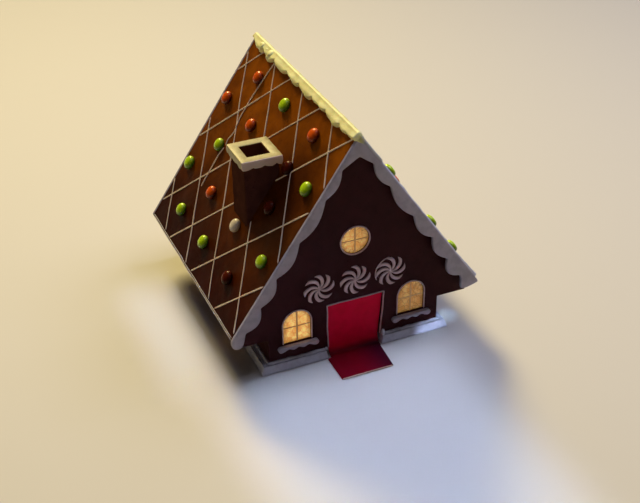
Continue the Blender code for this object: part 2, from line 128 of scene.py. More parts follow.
def makeLamps():
    for name, (place, aim, width, depth, fan, power, colour) in lamps.items():
        light = bpy.data.lights.new(name, "AREA")
        light.shape, light.size, light.size_y = "RECTANGLE", width * mm, depth * mm
        light.spread = math.radians(fan)
        light.energy, light.color = power, colour
        holder = placeInScene(name, light)
        holder.matrix_world = aimed(place, Vector(aim) - Vector(place))
        holder.visible_camera = False
    world = bpy.data.worlds.new("studio")
    world.use_nodes = True
    world.node_tree.nodes["Background"].inputs["Color"].default_value = (*studio["world"], 1.0)
    world.node_tree.nodes["Background"].inputs["Strength"].default_value = studio["worldStrength"]
    scene.world = world
    scene.view_settings.view_transform = "Standard"


def makeFloor():
    half = studio["floorHalf"] * mm
    corners = [(-half, -half, 0), (half, -half, 0), (half, half, 0), (-half, half, 0)]
    mesh = bpy.data.meshes.new("floor")
    mesh.from_pydata(corners, [], [(0, 1, 2, 3)])
    material = bpy.data.materials.new("paleFloor")
    material.use_nodes = True
    shader = material.node_tree.nodes["Principled BSDF"]
    shader.inputs["Base Color"].default_value = (*studio["floor"], 1.0)
    shader.inputs["Roughness"].default_value = studio["floorRoughness"]
    mesh.materials.append(material)
    placeInScene("floor", mesh)


makeCamera()
makeLamps()
makeFloor()
print("stage made")


# mesh helpers
def swell(u, v, size, seed, waves=7):
    # soft unevenness between about -1 and 1: plane waves of random direction, about 'size' long, added up;
    # with v = 0 it changes along u only
    rng = np.random.default_rng(seed)
    heading = rng.uniform(0, 2 * np.pi, waves)
    pace = 2 * np.pi / (size * rng.uniform(0.7, 1.5, waves))
    phase = rng.uniform(0, 2 * np.pi, waves)
    u, v = np.broadcast_arrays(np.asarray(u, float), np.asarray(v, float))
    travel = u[..., None] * np.cos(heading) + v[..., None] * np.sin(heading)
    return np.sin(pace * travel + phase).sum(-1) / waves ** 0.5 / 1.2


def gridPart(grid, joinU=False, joinV=False, capU=False):
    # quads between a grid's neighbours; joinU and joinV close it round, capU fills its end rows with fans
    rows, columns = grid.shape[:2]
    points = grid.reshape(rows * columns, -1)
    number = np.arange(rows * columns).reshape(rows, columns)
    if joinU:
        number = np.vstack([number, number[:1]])
    if joinV:
        number = np.hstack([number, number[:, :1]])
    quads = np.stack([number[:-1, :-1], number[1:, :-1], number[1:, 1:], number[:-1, 1:]], -1)
    fans = np.zeros((0, 3), int)
    if capU:
        middles = np.full(number.shape[1] - 1, len(points))
        fans = np.vstack([
            np.stack([number[0, 1:], number[0, :-1], middles], -1),
            np.stack([number[-1, :-1], number[-1, 1:], middles + 1], -1),
        ])
        points = np.vstack([points, grid[0].mean(0), grid[-1].mean(0)])
    return points, quads.reshape(-1, 4), fans


def newPiece(name, parts, look, slotName, stands=(), crease=40):
    # one mesh from parts of (points, quads, triangles), standing for the nodes in 'stands'; a fourth
    # column of points becomes the attribute "rim", and edges that turn over 'crease' degrees stay sharp
    starts = np.cumsum([0] + [len(points) for points, _, _ in parts])
    points = np.vstack([part[0] for part in parts])
    quads = np.vstack([part[1] + start for part, start in zip(parts, starts)])
    fans = np.vstack([part[2] + start for part, start in zip(parts, starts)])
    corners = np.concatenate([quads.ravel(), fans.ravel()]).astype(np.int32)
    sizes = np.repeat([4, 3], [len(quads), len(fans)])
    mesh = bpy.data.meshes.new(name)
    mesh.vertices.add(len(points))
    mesh.vertices.foreach_set("co", (points[:, :3] * mm).astype(np.float32).ravel())
    mesh.loops.add(len(corners))
    mesh.loops.foreach_set("vertex_index", corners)
    mesh.polygons.add(len(sizes))
    mesh.polygons.foreach_set("loop_start", (np.cumsum(sizes) - sizes).astype(np.int32))
    mesh.update(calc_edges=True)
    if points.shape[1] > 3:
        rim = mesh.attributes.new("rim", "FLOAT", "POINT")
        rim.data.foreach_set("value", points[:, 3].astype(np.float32))
    shell = bmesh.new()
    shell.from_mesh(mesh)
    bmesh.ops.remove_doubles(shell, verts=shell.verts, dist=0.004 * mm)
    bmesh.ops.recalc_face_normals(shell, faces=shell.faces)
    shell.to_mesh(mesh)
    shell.free()
    mesh.shade_smooth()
    mesh.set_sharp_from_angle(angle=math.radians(crease))
    mesh.materials.append(looks[look])
    piece = placeInScene(name, mesh)
    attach(piece, "root")
    if stands:
        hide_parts(*stands)


def outlinesOf(node, facing, up):
    # the outer loop of a flat node's face and then its holes, as points across and up; the outer one runs
    # anticlockwise
    mesh = frame["nodes"][node].data
    across = Vector(up).cross(Vector(facing))
    spots = [tuple(round(c / mm, 2) for c in vertex.co) for vertex in mesh.vertices]
    edges = set()
    for face in mesh.polygons:
        if face.normal.dot(Vector(facing)) > 0.99:
            ring = [spots[i] for i in face.vertices]
            edges |= set(zip(ring, ring[1:] + ring[:1]))
    following = {a: b for a, b in edges if (b, a) not in edges and a != b}
    loops = []
    while following:
        loop = [min(following)]
        while loop[-1] in following:
            loop.append(following.pop(loop[-1]))
        loops.append(np.array(loop[:-1]) @ np.array([across, up]).T)
    loops.sort(key=lambda loop: -np.ptp(loop[:, 0]) * np.ptp(loop[:, 1]))
    return loops


def refine(loop, spacing, soften=0.0, keep=50.0):
    # points every 'spacing' round a loop; a running mean 'soften' long rounds it, except where it turns
    # more than 'keep' degrees
    ahead = np.roll(loop, -1, 0) - loop
    counts = np.maximum(1, np.round(np.hypot(*ahead.T) / spacing).astype(int))
    owner = np.repeat(np.arange(len(loop)), counts)
    firsts = np.cumsum(counts) - counts
    share = (np.arange(counts.sum()) - firsts[owner]) / counts[owner]
    points = loop[owner] + ahead[owner] * share[:, None]
    reach = int(round(soften / spacing / 2))
    if reach < 1:
        return points
    heading = np.arctan2(ahead[:, 1], ahead[:, 0])
    turn = np.abs((heading - np.roll(heading, 1) + np.pi) % (2 * np.pi) - np.pi)
    corner = np.zeros(len(points))
    corner[firsts] = turn > math.radians(keep)
    offsets = np.arange(-reach, reach + 1)
    weights = np.cos(offsets / (reach + 1) * np.pi / 2) ** 2
    smooth = sum(weight * np.roll(points, offset, 0) for offset, weight in zip(offsets, weights))
    smooth /= weights.sum()
    fades = 1 - np.abs(offsets) / (reach + 1)
    near = np.max([fade * np.roll(corner, offset) for offset, fade in zip(offsets, fades)], 0)[:, None]
    return smooth * (1 - near) + points * near


def inset(loop, distance):
    # each point moves into the plate along the mitre of its two edges; where that would turn an edge
    # round, its points are evened out between their neighbours
    if not distance:
        return loop
    ahead = np.roll(loop, -1, 0) - loop
    length = np.hypot(*ahead.T)
    ahead /= length[:, None]
    normal = np.stack([-ahead[:, 1], ahead[:, 0]], -1)
    before = np.roll(normal, 1, 0)
    moved = loop + distance * (normal + before) / np.maximum(0.3, 1 + (normal * before).sum(-1))[:, None]
    for _ in range(60):
        turned = ((np.roll(moved, -1, 0) - moved) * ahead).sum(-1) < 0.05 * length
        if not turned.any():
            break
        loose = turned | np.roll(turned, 1)
        loose |= np.roll(loose, 1) | np.roll(loose, -1)
        moved = np.where(loose[:, None], (np.roll(moved, 1, 0) + np.roll(moved, -1, 0)) / 2, moved)
    return moved


def insideLoops(points, loops):
    # even-odd rule: a point is inside when a ray to the right crosses the loops an odd number of times
    odd = np.zeros(len(points), bool)
    for loop in loops:
        a, b = loop, np.roll(loop, -1, 0)
        rises = (a[:, 1] > points[:, 1:]) != (b[:, 1] > points[:, 1:])
        height = np.where(a[:, 1] == b[:, 1], 1.0, b[:, 1] - a[:, 1])
        crossing = a[:, 0] + (points[:, 1:] - a[:, 1]) / height * (b[:, 0] - a[:, 0])
        odd ^= (rises & (points[:, :1] < crossing)).sum(1) % 2 == 1
    return odd


def fillPart(loops, height, spacing=None, relief=None):
    # a flat face between loops, in triangles; relief(u, v) lifts its inner points away from the rim
    border = np.vstack(loops)
    points, rim = border, np.zeros(len(border))
    if spacing:
        low, high = border.min(0), border.max(0)
        columns = np.arange(low[0], high[0], spacing)
        lines = np.arange(low[1], high[1], spacing * 0.866)
        u, v = np.meshgrid(columns, lines)
        u[1::2] += spacing / 2
        inner = np.stack([u.ravel(), v.ravel()], -1)
        inner = inner[insideLoops(inner, loops)]
        away = np.concatenate([np.sqrt(((chunk[:, None] - border) ** 2).sum(-1)).min(1)
                               for chunk in np.array_split(inner, len(inner) // 500 + 1)])
        kept = away > spacing * 0.6
        points = np.vstack([border, inner[kept]])
        rim = np.concatenate([rim, away[kept]])
    lift = np.full(len(points), float(height))
    if relief:
        lift += relief(points[:, 0], points[:, 1]) * np.clip(rim / 3.0, 0, 1)
    starts = np.cumsum([0] + [len(loop) for loop in loops])
    rings = [list(range(start, end)) for start, end in zip(starts, starts[1:])]
    spots, _, faces, _, _, _ = delaunay_2d_cdt([Vector(point) for point in points], [], rings, 2, 1e-5)
    if len(spots) != len(points):
        raise RuntimeError("the outline crosses itself")
    triangles = np.array([face for face in faces if len(face) == 3])
    return np.column_stack([points, lift, rim]), np.zeros((0, 4), int), triangles


def plateParts(loops, profile, spacing=3.0, relief=None):
    # a plate: a profile of (inset, height) carried round its loops from front to back, with filled faces
    parts = []
    for loop in loops:
        rings = [np.column_stack([inset(loop, distance), np.full(len(loop), height), np.zeros(len(loop))])
                 for distance, height in profile]
        parts.append(gridPart(np.stack(rings), joinV=True))
    front = [inset(loop, profile[0][0]) for loop in loops]
    back = [inset(loop, profile[-1][0]) for loop in loops]
    return parts + [fillPart(front, profile[0][1], spacing, relief), fillPart(back, profile[-1][1])]


def roundEdge(thickness, front, back=0.0, steps=3):
    # rings of a plate whose front edge, and back edge if wanted, is a quarter circle
    turn = np.linspace(0, np.pi / 2, steps + 1)
    rings = [(front * (1 - math.sin(a)), thickness - front * (1 - math.cos(a))) for a in turn]
    if back:
        rings += [(back * (1 - math.cos(a)), back * (1 - math.sin(a))) for a in turn]
    else:
        rings.append((0.0, 0.0))
    return rings


def placed(parts, origin, facing, up):
    # turns parts drawn across, up and out into the frame's axes; a fourth column stays
    across = np.cross(up, facing)
    axes = np.array([across, up, facing])
    moved = []
    for points, quads, fans in parts:
        moved.append((np.column_stack([points[:, :3] @ axes + origin, points[:, 3:]]), quads, fans))
    return moved


def alongPath(path, closed=False):
    # unit tangents of a path of points
    if closed:
        step = np.roll(path, -1, 0) - np.roll(path, 1, 0)
    else:
        step = np.gradient(path, axis=0)
    return step / np.linalg.norm(step, axis=1)[:, None]


def distanceAlong(path):
    return np.concatenate([[0], np.cumsum(np.linalg.norm(np.diff(path, axis=0), axis=1))])


def quarterRound(share):
    # rises from 0 to 1 along a quarter of a circle
    return np.sqrt(1 - (1 - share) ** 2)


def evenly(path, spacing):
    # the same open path with points at even distances
    lengths = distanceAlong(path)
    stops = np.linspace(0, lengths[-1], max(3, int(lengths[-1] / spacing) + 1))
    return np.stack([np.interp(stops, lengths, path[:, i]) for i in range(path.shape[1])], -1)


def pipedPart(path, normal, width, height, closed=False, sink=0.25, taper=1.2, sides=7):
    # a line of icing: half an ellipse, 'width' across and 'height' high, carried along a surface
    normal = np.broadcast_to(np.asarray(normal, float), path.shape)
    tangent = alongPath(path, closed)
    sideways = np.cross(tangent, normal)
    sideways /= np.linalg.norm(sideways, axis=1)[:, None]
    width = np.broadcast_to(width, len(path)) / 2
    height = np.broadcast_to(height, len(path))
    if not closed:  # both ends round off over 'taper'
        run = distanceAlong(path)
        rounded = 0.15 + 0.85 * quarterRound(np.clip(np.minimum(run, run[-1] - run) / taper, 0, 1))
        width, height = width * rounded, height * rounded
    turn = np.linspace(0, np.pi, sides)
    across = np.concatenate([np.cos(turn), [-1.0, 1.0]])
    up = np.concatenate([np.sin(turn), [0.0, 0.0]])
    below = np.concatenate([np.zeros(sides), [-sink, -sink]])
    grid = (path[:, None]
            + sideways[:, None] * (across * width[:, None])[..., None]
            + normal[:, None] * (up * height[:, None] + below)[..., None])
    return gridPart(grid, joinU=closed, joinV=True, capU=not closed)


def domePart(centre, normal, profile, steps, squash=1.0):
    # a profile of (radius, height) turned round 'normal'; squash makes its plan an oval
    normal = np.asarray(normal, float)
    aside = np.cross(normal, np.eye(3)[np.argmin(np.abs(normal))])
    aside /= np.linalg.norm(aside)
    other = np.cross(normal, aside)
    angle = np.linspace(0, 2 * np.pi, steps, endpoint=False)
    radius, height = np.asarray(profile, float).T
    grid = (np.asarray(centre, float)
            + (radius[:, None] * np.cos(angle))[..., None] * aside
            + (radius[:, None] * np.sin(angle) * squash)[..., None] * other
            + height[:, None, None] * normal)
    return gridPart(grid, joinV=True)


# effects that several materials share
def newGroup(name, colours, numbers):
    # every effect gives a colour, a roughness and a height
    group = bpy.data.node_groups.new(name, "ShaderNodeTree")
    for direction, kind, labels in (
            ("INPUT", "Color", colours), ("INPUT", "Float", numbers),
            ("OUTPUT", "Color", ("Color",)), ("OUTPUT", "Float", ("Roughness", "Height"))):
        for label in labels:
            group.interface.new_socket(name=label, in_out=direction, socket_type="NodeSocket" + kind)
    return group, group.nodes.new("NodeGroupInput").outputs, group.nodes.new("NodeGroupOutput").inputs


def add(tree, kind, inputs, output=0, **settings):
    # adds a node, sets or links its inputs by name or number, and returns one of its outputs
    node = tree.nodes.new("ShaderNode" + kind)
    for key, value in settings.items():
        setattr(node, key, value)
    for key, value in inputs.items():
        if isinstance(value, bpy.types.NodeSocket):
            tree.links.new(value, node.inputs[key])
        else:
            node.inputs[key].default_value = value
    return node.outputs[output]


def spread(tree, value, low, high, toLow=0.0, toHigh=1.0):
    # maps low..high to toLow..toHigh along a smooth step
    sockets = {"Value": value, "From Min": low, "From Max": high, "To Min": toLow, "To Max": toHigh}
    return add(tree, "MapRange", sockets, interpolation_type="SMOOTHSTEP")


def maths(tree, operation, a, b=0.0, c=0.0):
    return add(tree, "Math", {0: a, 1: b, 2: c}, operation=operation)


def plus(tree, a, b):
    return maths(tree, "ADD", a, b)


def minus(tree, a, b):
    return maths(tree, "SUBTRACT", a, b)


def times(tree, a, b):
    return maths(tree, "MULTIPLY", a, b)


def timesPlus(tree, a, b, c):
    return maths(tree, "MULTIPLY_ADD", a, b, c)


def blendColour(tree, share, first, second, kind="MIX"):
    return add(tree, "Mix", {0: share, 6: first, 7: second}, output=2, data_type="RGBA", blend_type=kind)


def tinted(tree, share, colour, tint):
    # the colour multiplied by a tint, as far as 'share' goes
    return blendColour(tree, share, colour, blendColour(tree, 1.0, colour, tint, "MULTIPLY"))


def objectSpot(tree):
    return add(tree, "TexCoord", {}, output="Object")


def placeOn(tree, axis):
    return add(tree, "SeparateXYZ", {0: objectSpot(tree)}, output=axis)


def rimOf(tree):
    return add(tree, "Attribute", {}, output="Fac", attribute_name="rim")


def speckle(tree, spot, size, detail=2.0, roughness=0.5):
    # noise whose lumps are 'size' millimetres across
    sockets = {"Vector": spot, "Scale": 1 / (size * mm), "Detail": detail, "Roughness": roughness}
    return add(tree, "TexNoise", sockets)


def pebbles(tree, spot, size, feature="F1"):
    sockets = {"Vector": spot, "Scale": 1 / (size * mm)}
    return add(tree, "TexVoronoi", sockets, output="Distance", feature=feature)


def rgb(red, green, blue):
    return red, green, blue, 1.0


def bakedCrumbGroup():
    # baked dough: broad patches of browning, cloudy clusters, fine crumb, sparse pores with painted shade
    # in them, and a darker rim
    group, given, out = newGroup("bakedCrumb", ("Dark", "Light"), ("Patches", "Glaze"))
    spot = objectSpot(group)
    patches = speckle(group, spot, 42, 3.0, 0.55)
    clouds = speckle(group, spot, 9, 3.0, 0.6)
    crumb = speckle(group, spot, 0.9, 3.0, 0.65)
    wander = speckle(group, spot, 6, 1.0)
    pores = times(group, spread(group, pebbles(group, spot, 2.6), 0.12, 0.34, 1.0, 0.0),
                  spread(group, wander, 0.52, 0.62))
    rim = spread(group, rimOf(group), 0.2, 3.2, 1.0, 0.0)
    tone = plus(group, times(group, spread(group, patches, 0.36, 0.64), given["Patches"]),
                times(group, spread(group, clouds, 0.34, 0.68), 0.35))
    tone = plus(group, tone, times(group, minus(group, crumb, 0.5), 0.5))
    tone = minus(group, tone, times(group, rim, 0.18))
    # painted shade: the pores are darker
    tone = minus(group, tone, times(group, pores, 0.55))
    colour = blendColour(group, maths(group, "MAXIMUM", tone, 0.0), given["Dark"], given["Light"])
    group.links.new(colour, out["Color"])
    dull = timesPlus(group, crumb, 0.22, timesPlus(group, pores, 0.25, 0.36))
    group.links.new(minus(group, dull, times(group, given["Glaze"], 0.2)), out["Roughness"])
    height = timesPlus(group, clouds, 0.5, times(group, crumb, 0.28))
    group.links.new(minus(group, height, times(group, pores, 0.45)), out["Height"])
    return group


def icingSkinGroup():
    # dried icing: faint lumps, sugar grain, a few burst bubbles, and painted shade: the dips between the
    # lumps and the bubbles are slightly darker
    group, given, out = newGroup("icingSkin", ("Colour", "DipShade"), ("Grain",))
    spot = objectSpot(group)
    lumps = speckle(group, spot, 7, 2.0, 0.5)
    grain = speckle(group, spot, 0.55, 2.0, 0.7)
    bubbles = times(group, spread(group, pebbles(group, spot, 3.4), 0.06, 0.15, 1.0, 0.0),
                    spread(group, speckle(group, spot, 11, 1.0), 0.5, 0.6))
    # painted shade where the surface dips and in the bubbles; the grain varies it at random
    dips = maths(group, "MAXIMUM", spread(group, lumps, 0.62, 0.34), bubbles)
    dips = timesPlus(group, minus(group, grain, 0.5), given["Grain"], dips)
    group.links.new(blendColour(group, dips, given["Colour"], given["DipShade"]), out["Color"])
    group.links.new(timesPlus(group, grain, 0.25, 0.34), out["Roughness"])
    height = timesPlus(group, lumps, 0.7, times(group, grain, given["Grain"]))
    group.links.new(minus(group, height, times(group, bubbles, 0.5)), out["Height"])
    return group


def candyShellGroup():
    # a thin sugar shell: soft mottling, fine dimples, and painted light: a deep shaded colour that turns
    # to a pale lit one over the crown
    group, given, out = newGroup("candyShell", ("Colour", "Pale"), ())
    spot = objectSpot(group)
    mottle = speckle(group, spot, 2.6, 3.0, 0.6)
    dimples = speckle(group, spot, 0.7, 2.0, 0.5)
    crown = spread(group, rimOf(group), 0.12, 0.86)
    share = timesPlus(group, spread(group, mottle, 0.4, 0.7), 0.12, times(group, crown, 0.9))
    group.links.new(blendColour(group, share, given["Colour"], given["Pale"]), out["Color"])
    group.links.new(timesPlus(group, mottle, 0.2, 0.14), out["Roughness"])
    group.links.new(dimples, out["Height"])
    return group


effects = {"bakedCrumb": bakedCrumbGroup(), "icingSkin": icingSkinGroup(), "candyShell": candyShellGroup()}


def bumped(tree, shader, depth, height):
    normal = add(tree, "Bump", {"Strength": 1.0, "Distance": depth * mm, "Height": height})
    tree.links.new(normal, shader.inputs["Normal"])


def finish(name, effect, values, bump, coat=0.0, coatRoughness=0.2, subsurface=0.0, specular=0.5,
           change=None):
    # a material that places a shared effect with its own values; change(tree, colour) may turn its colour
    material = bpy.data.materials.new(name)
    material.use_nodes = True
    tree = material.node_tree
    shader = tree.nodes["Principled BSDF"]
    surface = tree.nodes.new("ShaderNodeGroup")
    surface.node_tree = effects[effect]
    for key, value in values.items():
        surface.inputs[key].default_value = value
    colour = surface.outputs["Color"]
    if change:
        colour = change(tree, colour)
    tree.links.new(colour, shader.inputs["Base Color"])
    tree.links.new(surface.outputs["Roughness"], shader.inputs["Roughness"])
    bumped(tree, shader, bump, surface.outputs["Height"])
    own = {"Specular IOR Level": specular, "Coat Weight": coat, "Coat Roughness": coatRoughness,
           "Subsurface Weight": subsurface, "Subsurface Scale": 1.5 * mm}
    for key, value in own.items():
        shader.inputs[key].default_value = value
    return material


def eaveShadeAndChimneyShadow(tree, colour):
    # painted shade: the roof is browner towards the eaves, partly a deeper bake and partly the light's
    # falloff down the slope painted in; a round patch in front of the chimney is its painted shadow
    colour = tinted(tree, spread(tree, placeOn(tree, "Z"), 0.168, 0.045), colour, rgb(0.12, 0.04, 0.3))
    # painted shadow of the chimney: the roof is darker over a round patch in front of it
    ends = {0: objectSpot(tree), 1: (-0.040, -0.058, 0.124)}
    away = add(tree, "VectorMath", ends, output="Value", operation="DISTANCE")
    return tinted(tree, spread(tree, away, 0.066, 0.012, 0.0, 0.9), colour, rgb(0.22, 0.16, 0.6))


def rightSlopeShade(tree, colour):
    # painted shade: the ridge icing is a greyer white where it runs down the right slope, the side in
    # shade
    return blendColour(tree, spread(tree, placeOn(tree, "X"), 0.0, 0.005), colour, rgb(0.58, 0.56, 0.58))


def flatShade(tree, colour):
    # painted shade: the door's sheet is a deeper red where it lies on the ground, and deeper still to the
    # right
    across = spread(tree, placeOn(tree, "X"), -0.008, 0.018)
    sheetShade = blendColour(tree, across, rgb(0.20, 0.4, 0.19), rgb(0.062, 0.5, 0.26))
    return tinted(tree, spread(tree, placeOn(tree, "Z"), 0.006, 0.0015), colour, sheetShade)


def chimneySideShadeAndFlueLight(tree, colour):
    # painted shade and light: the chimney's left side is darker, as the shade on that face, and the inside
    # of the flue paler, as painted light where it would lie in shadow
    low, high = (corner * mm for corner in boxOf("chimney_stack"))
    side = spread(tree, placeOn(tree, "X"), low[0] + 0.0012, low[0] + 0.0004)
    colour = tinted(tree, side, colour, rgb(0.80, 0.80, 0.55))
    # painted light: a paler brown inside the flue
    offsets = [minus(tree, placeOn(tree, axis), middle) for axis, middle in zip("XY", (low + high) / 2)]
    fromMiddle = maths(tree, "MAXIMUM", *(maths(tree, "ABSOLUTE", offset) for offset in offsets))
    return blendColour(tree, spread(tree, fromMiddle, 0.0094, 0.0091), colour, rgb(0.18, 0.065, 0.03))


def capFrontShade(tree, colour):
    # painted shade: the chimney's icing is whiter and pinker on its front face, the colour that face shows
    # in shade, against the warm-lit yellow of its top and sides
    frontFace = boxOf("chimney_cap")[0][1] * mm
    share = spread(tree, placeOn(tree, "Y"), frontFace + 0.0012, frontFace + 0.0003)
    return blendColour(tree, share, colour, rgb(0.78, 0.62, 0.58))


finishes = {
    # effect: the names of its values; then each material's values, depth of bumps and own settings
    "bakedCrumb": (("Dark", "Light", "Patches", "Glaze"), {
        "darkGingerbread": (rgb(0.030, 0.0040, 0.0055), rgb(0.054, 0.0080, 0.0105), 0.35, 0.0, 0.2, {
            "specular": 0.07}),
        "roofGingerbread": (rgb(0.21, 0.052, 0.0004), rgb(0.40, 0.108, 0.0008), 0.6, 0.5, 0.22, {
            "specular": 0.06, "change": eaveShadeAndChimneyShadow}),
        "chimneyGingerbread": (rgb(0.075, 0.026, 0.026), rgb(0.135, 0.050, 0.044), 0.4, 0.0, 0.25, {
            "specular": 0.0, "change": chimneySideShadeAndFlueLight}),
        "barGingerbread": (rgb(0.50, 0.34, 0.24), rgb(0.78, 0.58, 0.44), 0.4, 0.4, 0.1, {}),
        "windowBar": (rgb(0.46, 0.23, 0.08), rgb(0.70, 0.42, 0.17), 0.4, 0.2, 0.08, {}),
    }),
    "icingSkin": (("Colour", "DipShade", "Grain"), {
        # painted shade: this white icing is a dark grey-lavender, the colour it shows in shade on the
        # front gable
        "shadedWhiteIcing": (rgb(0.45, 0.41, 0.51), rgb(0.37, 0.335, 0.43), 0.25, 0.22, {"subsurface": 0.1}),
        "boardIcing": (rgb(0.80, 0.80, 0.92), rgb(0.68, 0.67, 0.78), 0.3, 0.2, {"coat": 0.2}),
        "creamIcing": (rgb(0.98, 0.96, 0.46), rgb(0.93, 0.87, 0.36), 0.3, 0.28, {
            "subsurface": 0.12, "change": rightSlopeShade}),
        "capIcing": (rgb(0.48, 0.425, 0.20), rgb(0.41, 0.345, 0.155), 0.3, 0.28, {
            "subsurface": 0.1, "change": capFrontShade}),
        "lineIcing": (rgb(0.99, 0.82, 0.68), rgb(0.95, 0.74, 0.60), 0.2, 0.12, {"subsurface": 0.08}),
        "facadeIcing": (rgb(0.76, 0.58, 0.66), rgb(0.64, 0.47, 0.54), 0.2, 0.12, {"subsurface": 0.08}),
        "redSheet": (rgb(0.93, 0.0008, 0.050), rgb(0.86, 0.0006, 0.042), 0.05, 0.08, {
            "specular": 0.07, "change": flatShade}),
    }),
    # painted light: for the candies, Colour is the shaded and Pale the lit copy of the shell's colour
    "candyShell": (("Colour", "Pale"), {
        "greenCandy": (rgb(0.040, 0.125, 0.003), rgb(0.66, 0.99, 0.008), 0.05, {
            "coat": 0.10, "coatRoughness": 0.3}),
        "redCandy": (rgb(0.060, 0.004, 0.001), rgb(0.99, 0.135, 0.003), 0.05, {
            "coat": 0.08, "coatRoughness": 0.4, "specular": 0.3}),
        # painted shade: a darker red shell for the candies that lie in the chimney's shadow
        "shadedRedCandy": (rgb(0.020, 0.003, 0.001), rgb(0.105, 0.012, 0.004), 0.05, {"specular": 0.08}),
        "whiteCandy": (rgb(0.44, 0.34, 0.26), rgb(0.95, 0.84, 0.72), 0.05, {
            "coat": 0.15, "coatRoughness": 0.3}),
    }),
}
looks = {}
for effect, (valueNames, rows) in finishes.items():
    for name, (*values, bump, own) in rows.items():
        looks[name] = finish(name, effect, dict(zip(valueNames, values)), bump, **own)

# painted light: the gingerbread bars glow faintly, as if lit by the panes behind them
barShader = looks["windowBar"].node_tree.nodes["Principled BSDF"]
barShader.inputs["Emission Color"].default_value = rgb(1.0, 0.50, 0.16)
barShader.inputs["Emission Strength"].default_value = 0.14


def makeSugarPane():
    # cracked amber sugar: straight cracks between cells, and painted light: a warm glow, as if lit from
    # inside the house, that is stronger to the left and weaker near the rims
    material = bpy.data.materials.new("sugarPane")
    material.use_nodes = True
    tree = material.node_tree
    shader = tree.nodes["Principled BSDF"]
    spot = objectSpot(tree)
    cracks = spread(tree, pebbles(tree, spot, 5.0, "DISTANCE_TO_EDGE"), 0.0, 0.09, 1.0, 0.0)
    shards = spread(tree, pebbles(tree, spot, 2.2, "DISTANCE_TO_EDGE"), 0.0, 0.10, 1.0, 0.0)
    cloud = spread(tree, speckle(tree, spot, 5, 3.0, 0.6), 0.35, 0.68)
    lines = timesPlus(tree, shards, 0.35, times(tree, cracks, 0.6))
    warm = blendColour(tree, cloud, rgb(0.80, 0.36, 0.075), rgb(0.98, 0.62, 0.19))
    warm = blendColour(tree, lines, warm, rgb(0.50, 0.20, 0.04))
    tree.links.new(warm, shader.inputs["Base Color"])
    # painted light: the glow's strength across the pane
    glow = times(tree, spread(tree, placeOn(tree, "X"), -0.045, 0.035, 0.78, 0.22),
                 spread(tree, rimOf(tree), 0.0, 3.5, 0.45, 1.0))
    lit = blendColour(tree, 1.0, warm, add(tree, "CombineColor", {0: glow, 1: glow, 2: glow}), "MULTIPLY")
    tree.links.new(lit, shader.inputs["Emission Color"])
    shader.inputs["Emission Strength"].default_value = 1.0
    shader.inputs["Roughness"].default_value = 0.25
    shader.inputs["Coat Weight"].default_value = 0.4
    bumped(tree, shader, 0.25, minus(tree, cloud, lines))
    return material


looks["sugarPane"] = makeSugarPane()
print("materials:", len(bpy.data.materials))


def flatPiece(name, node, facing, up, look, slotName, edge=0.0, under=0.0, step=1.0, soften=0.0,
              keep=50.0, spacing=3.0, relief=None, profile=None):
    # a plate on a flat node's own outline: finer curves, a rounded edge and an uneven face
    low, high = boxOf(node)
    thickness = abs((high - low) @ facing)
    foot = facing * (max(low @ facing, high @ facing) - thickness)
    loops = [refine(loop, step, soften, keep) for loop in outlinesOf(node, facing, up)]
    parts = plateParts(loops, profile or roundEdge(thickness, edge, under), spacing, relief)
    newPiece(name, placed(parts, foot, facing, up), look, slotName, (node,))


# the board: a tray with a sloping side, a rolled rim and a shallow groove inside it
board = {"bevel": 1.7, "rim": 2.5, "groove": 0.7, "grooveWidth": 2.2, "flange": 1.9,
         "step": 2.0, "spacing": 8.0}


def makeBoard():
    low, high = boxOf("board")
    deep = high[2] - low[2]
    bevel, rim, groove, flange = (board[key] for key in ("bevel", "rim", "groove", "flange"))
    inner = rim + board["grooveWidth"]
    profile = [  # (distance in from the outline, height), from the tray's face to its foot
        (inner + 0.9, deep), (inner + 0.4, deep - 0.1), (inner, deep - groove),
        (rim + 0.5, deep - groove), (rim + 0.15, deep - 0.35), (rim - 0.2, deep - 0.04),
        (bevel + 0.25, deep), (bevel - 0.1, deep - 0.25), (bevel - 0.35, deep - 0.8),
        (0.35, flange + 0.35), (0.1, flange + 0.1), (0.0, flange - 0.2),
        (0.0, 0.35), (0.12, 0.08), (0.35, 0.0),
    ]
    flatPiece("iced_board", "board", top, back, "boardIcing", "board_icing", profile=profile,
              step=board["step"], spacing=board["spacing"])


makeBoard()
print("board made")

# baked walls: gables with their windows cut, and plain sides
wall = {"edge": 0.6, "bow": 0.12, "bowLength": 38, "ripple": 0.04, "rippleLength": 7}


def wallRelief(seed):
    return lambda u, v: (wall["bow"] * swell(u, v, wall["bowLength"], seed)
                         + wall["ripple"] * swell(u, v, wall["rippleLength"], seed + 1))


for wallName, node, facing, seed in (
        ("front_gable", "front_wall", front, 11), ("back_gable", "back_wall", back, 13),
        ("left_side", "side_wall_left", left, 15), ("right_side", "side_wall_right", right, 17)):
    flatPiece(wallName, node, facing, top, "darkGingerbread", "dark_gingerbread", wall["edge"], 0.3,
              soften=2.4, keep=28.0, relief=wallRelief(seed))
print("walls made")

# roof panels: one section from ridge to eave, mitred at the ridge, carried along the house
roof = {"spacing": 2.0, "edge": 0.9, "bow": 0.13, "bowLength": 36, "ripple": 0.05, "rippleLength": 8,
        "levelEdge": 4.0, "undersideSteps": 12}
eaveHeight = ridgeHeight - slopeLength * slopeSine
panelThickness = (eaveHeight - roofLow[2]) / slopeCosine


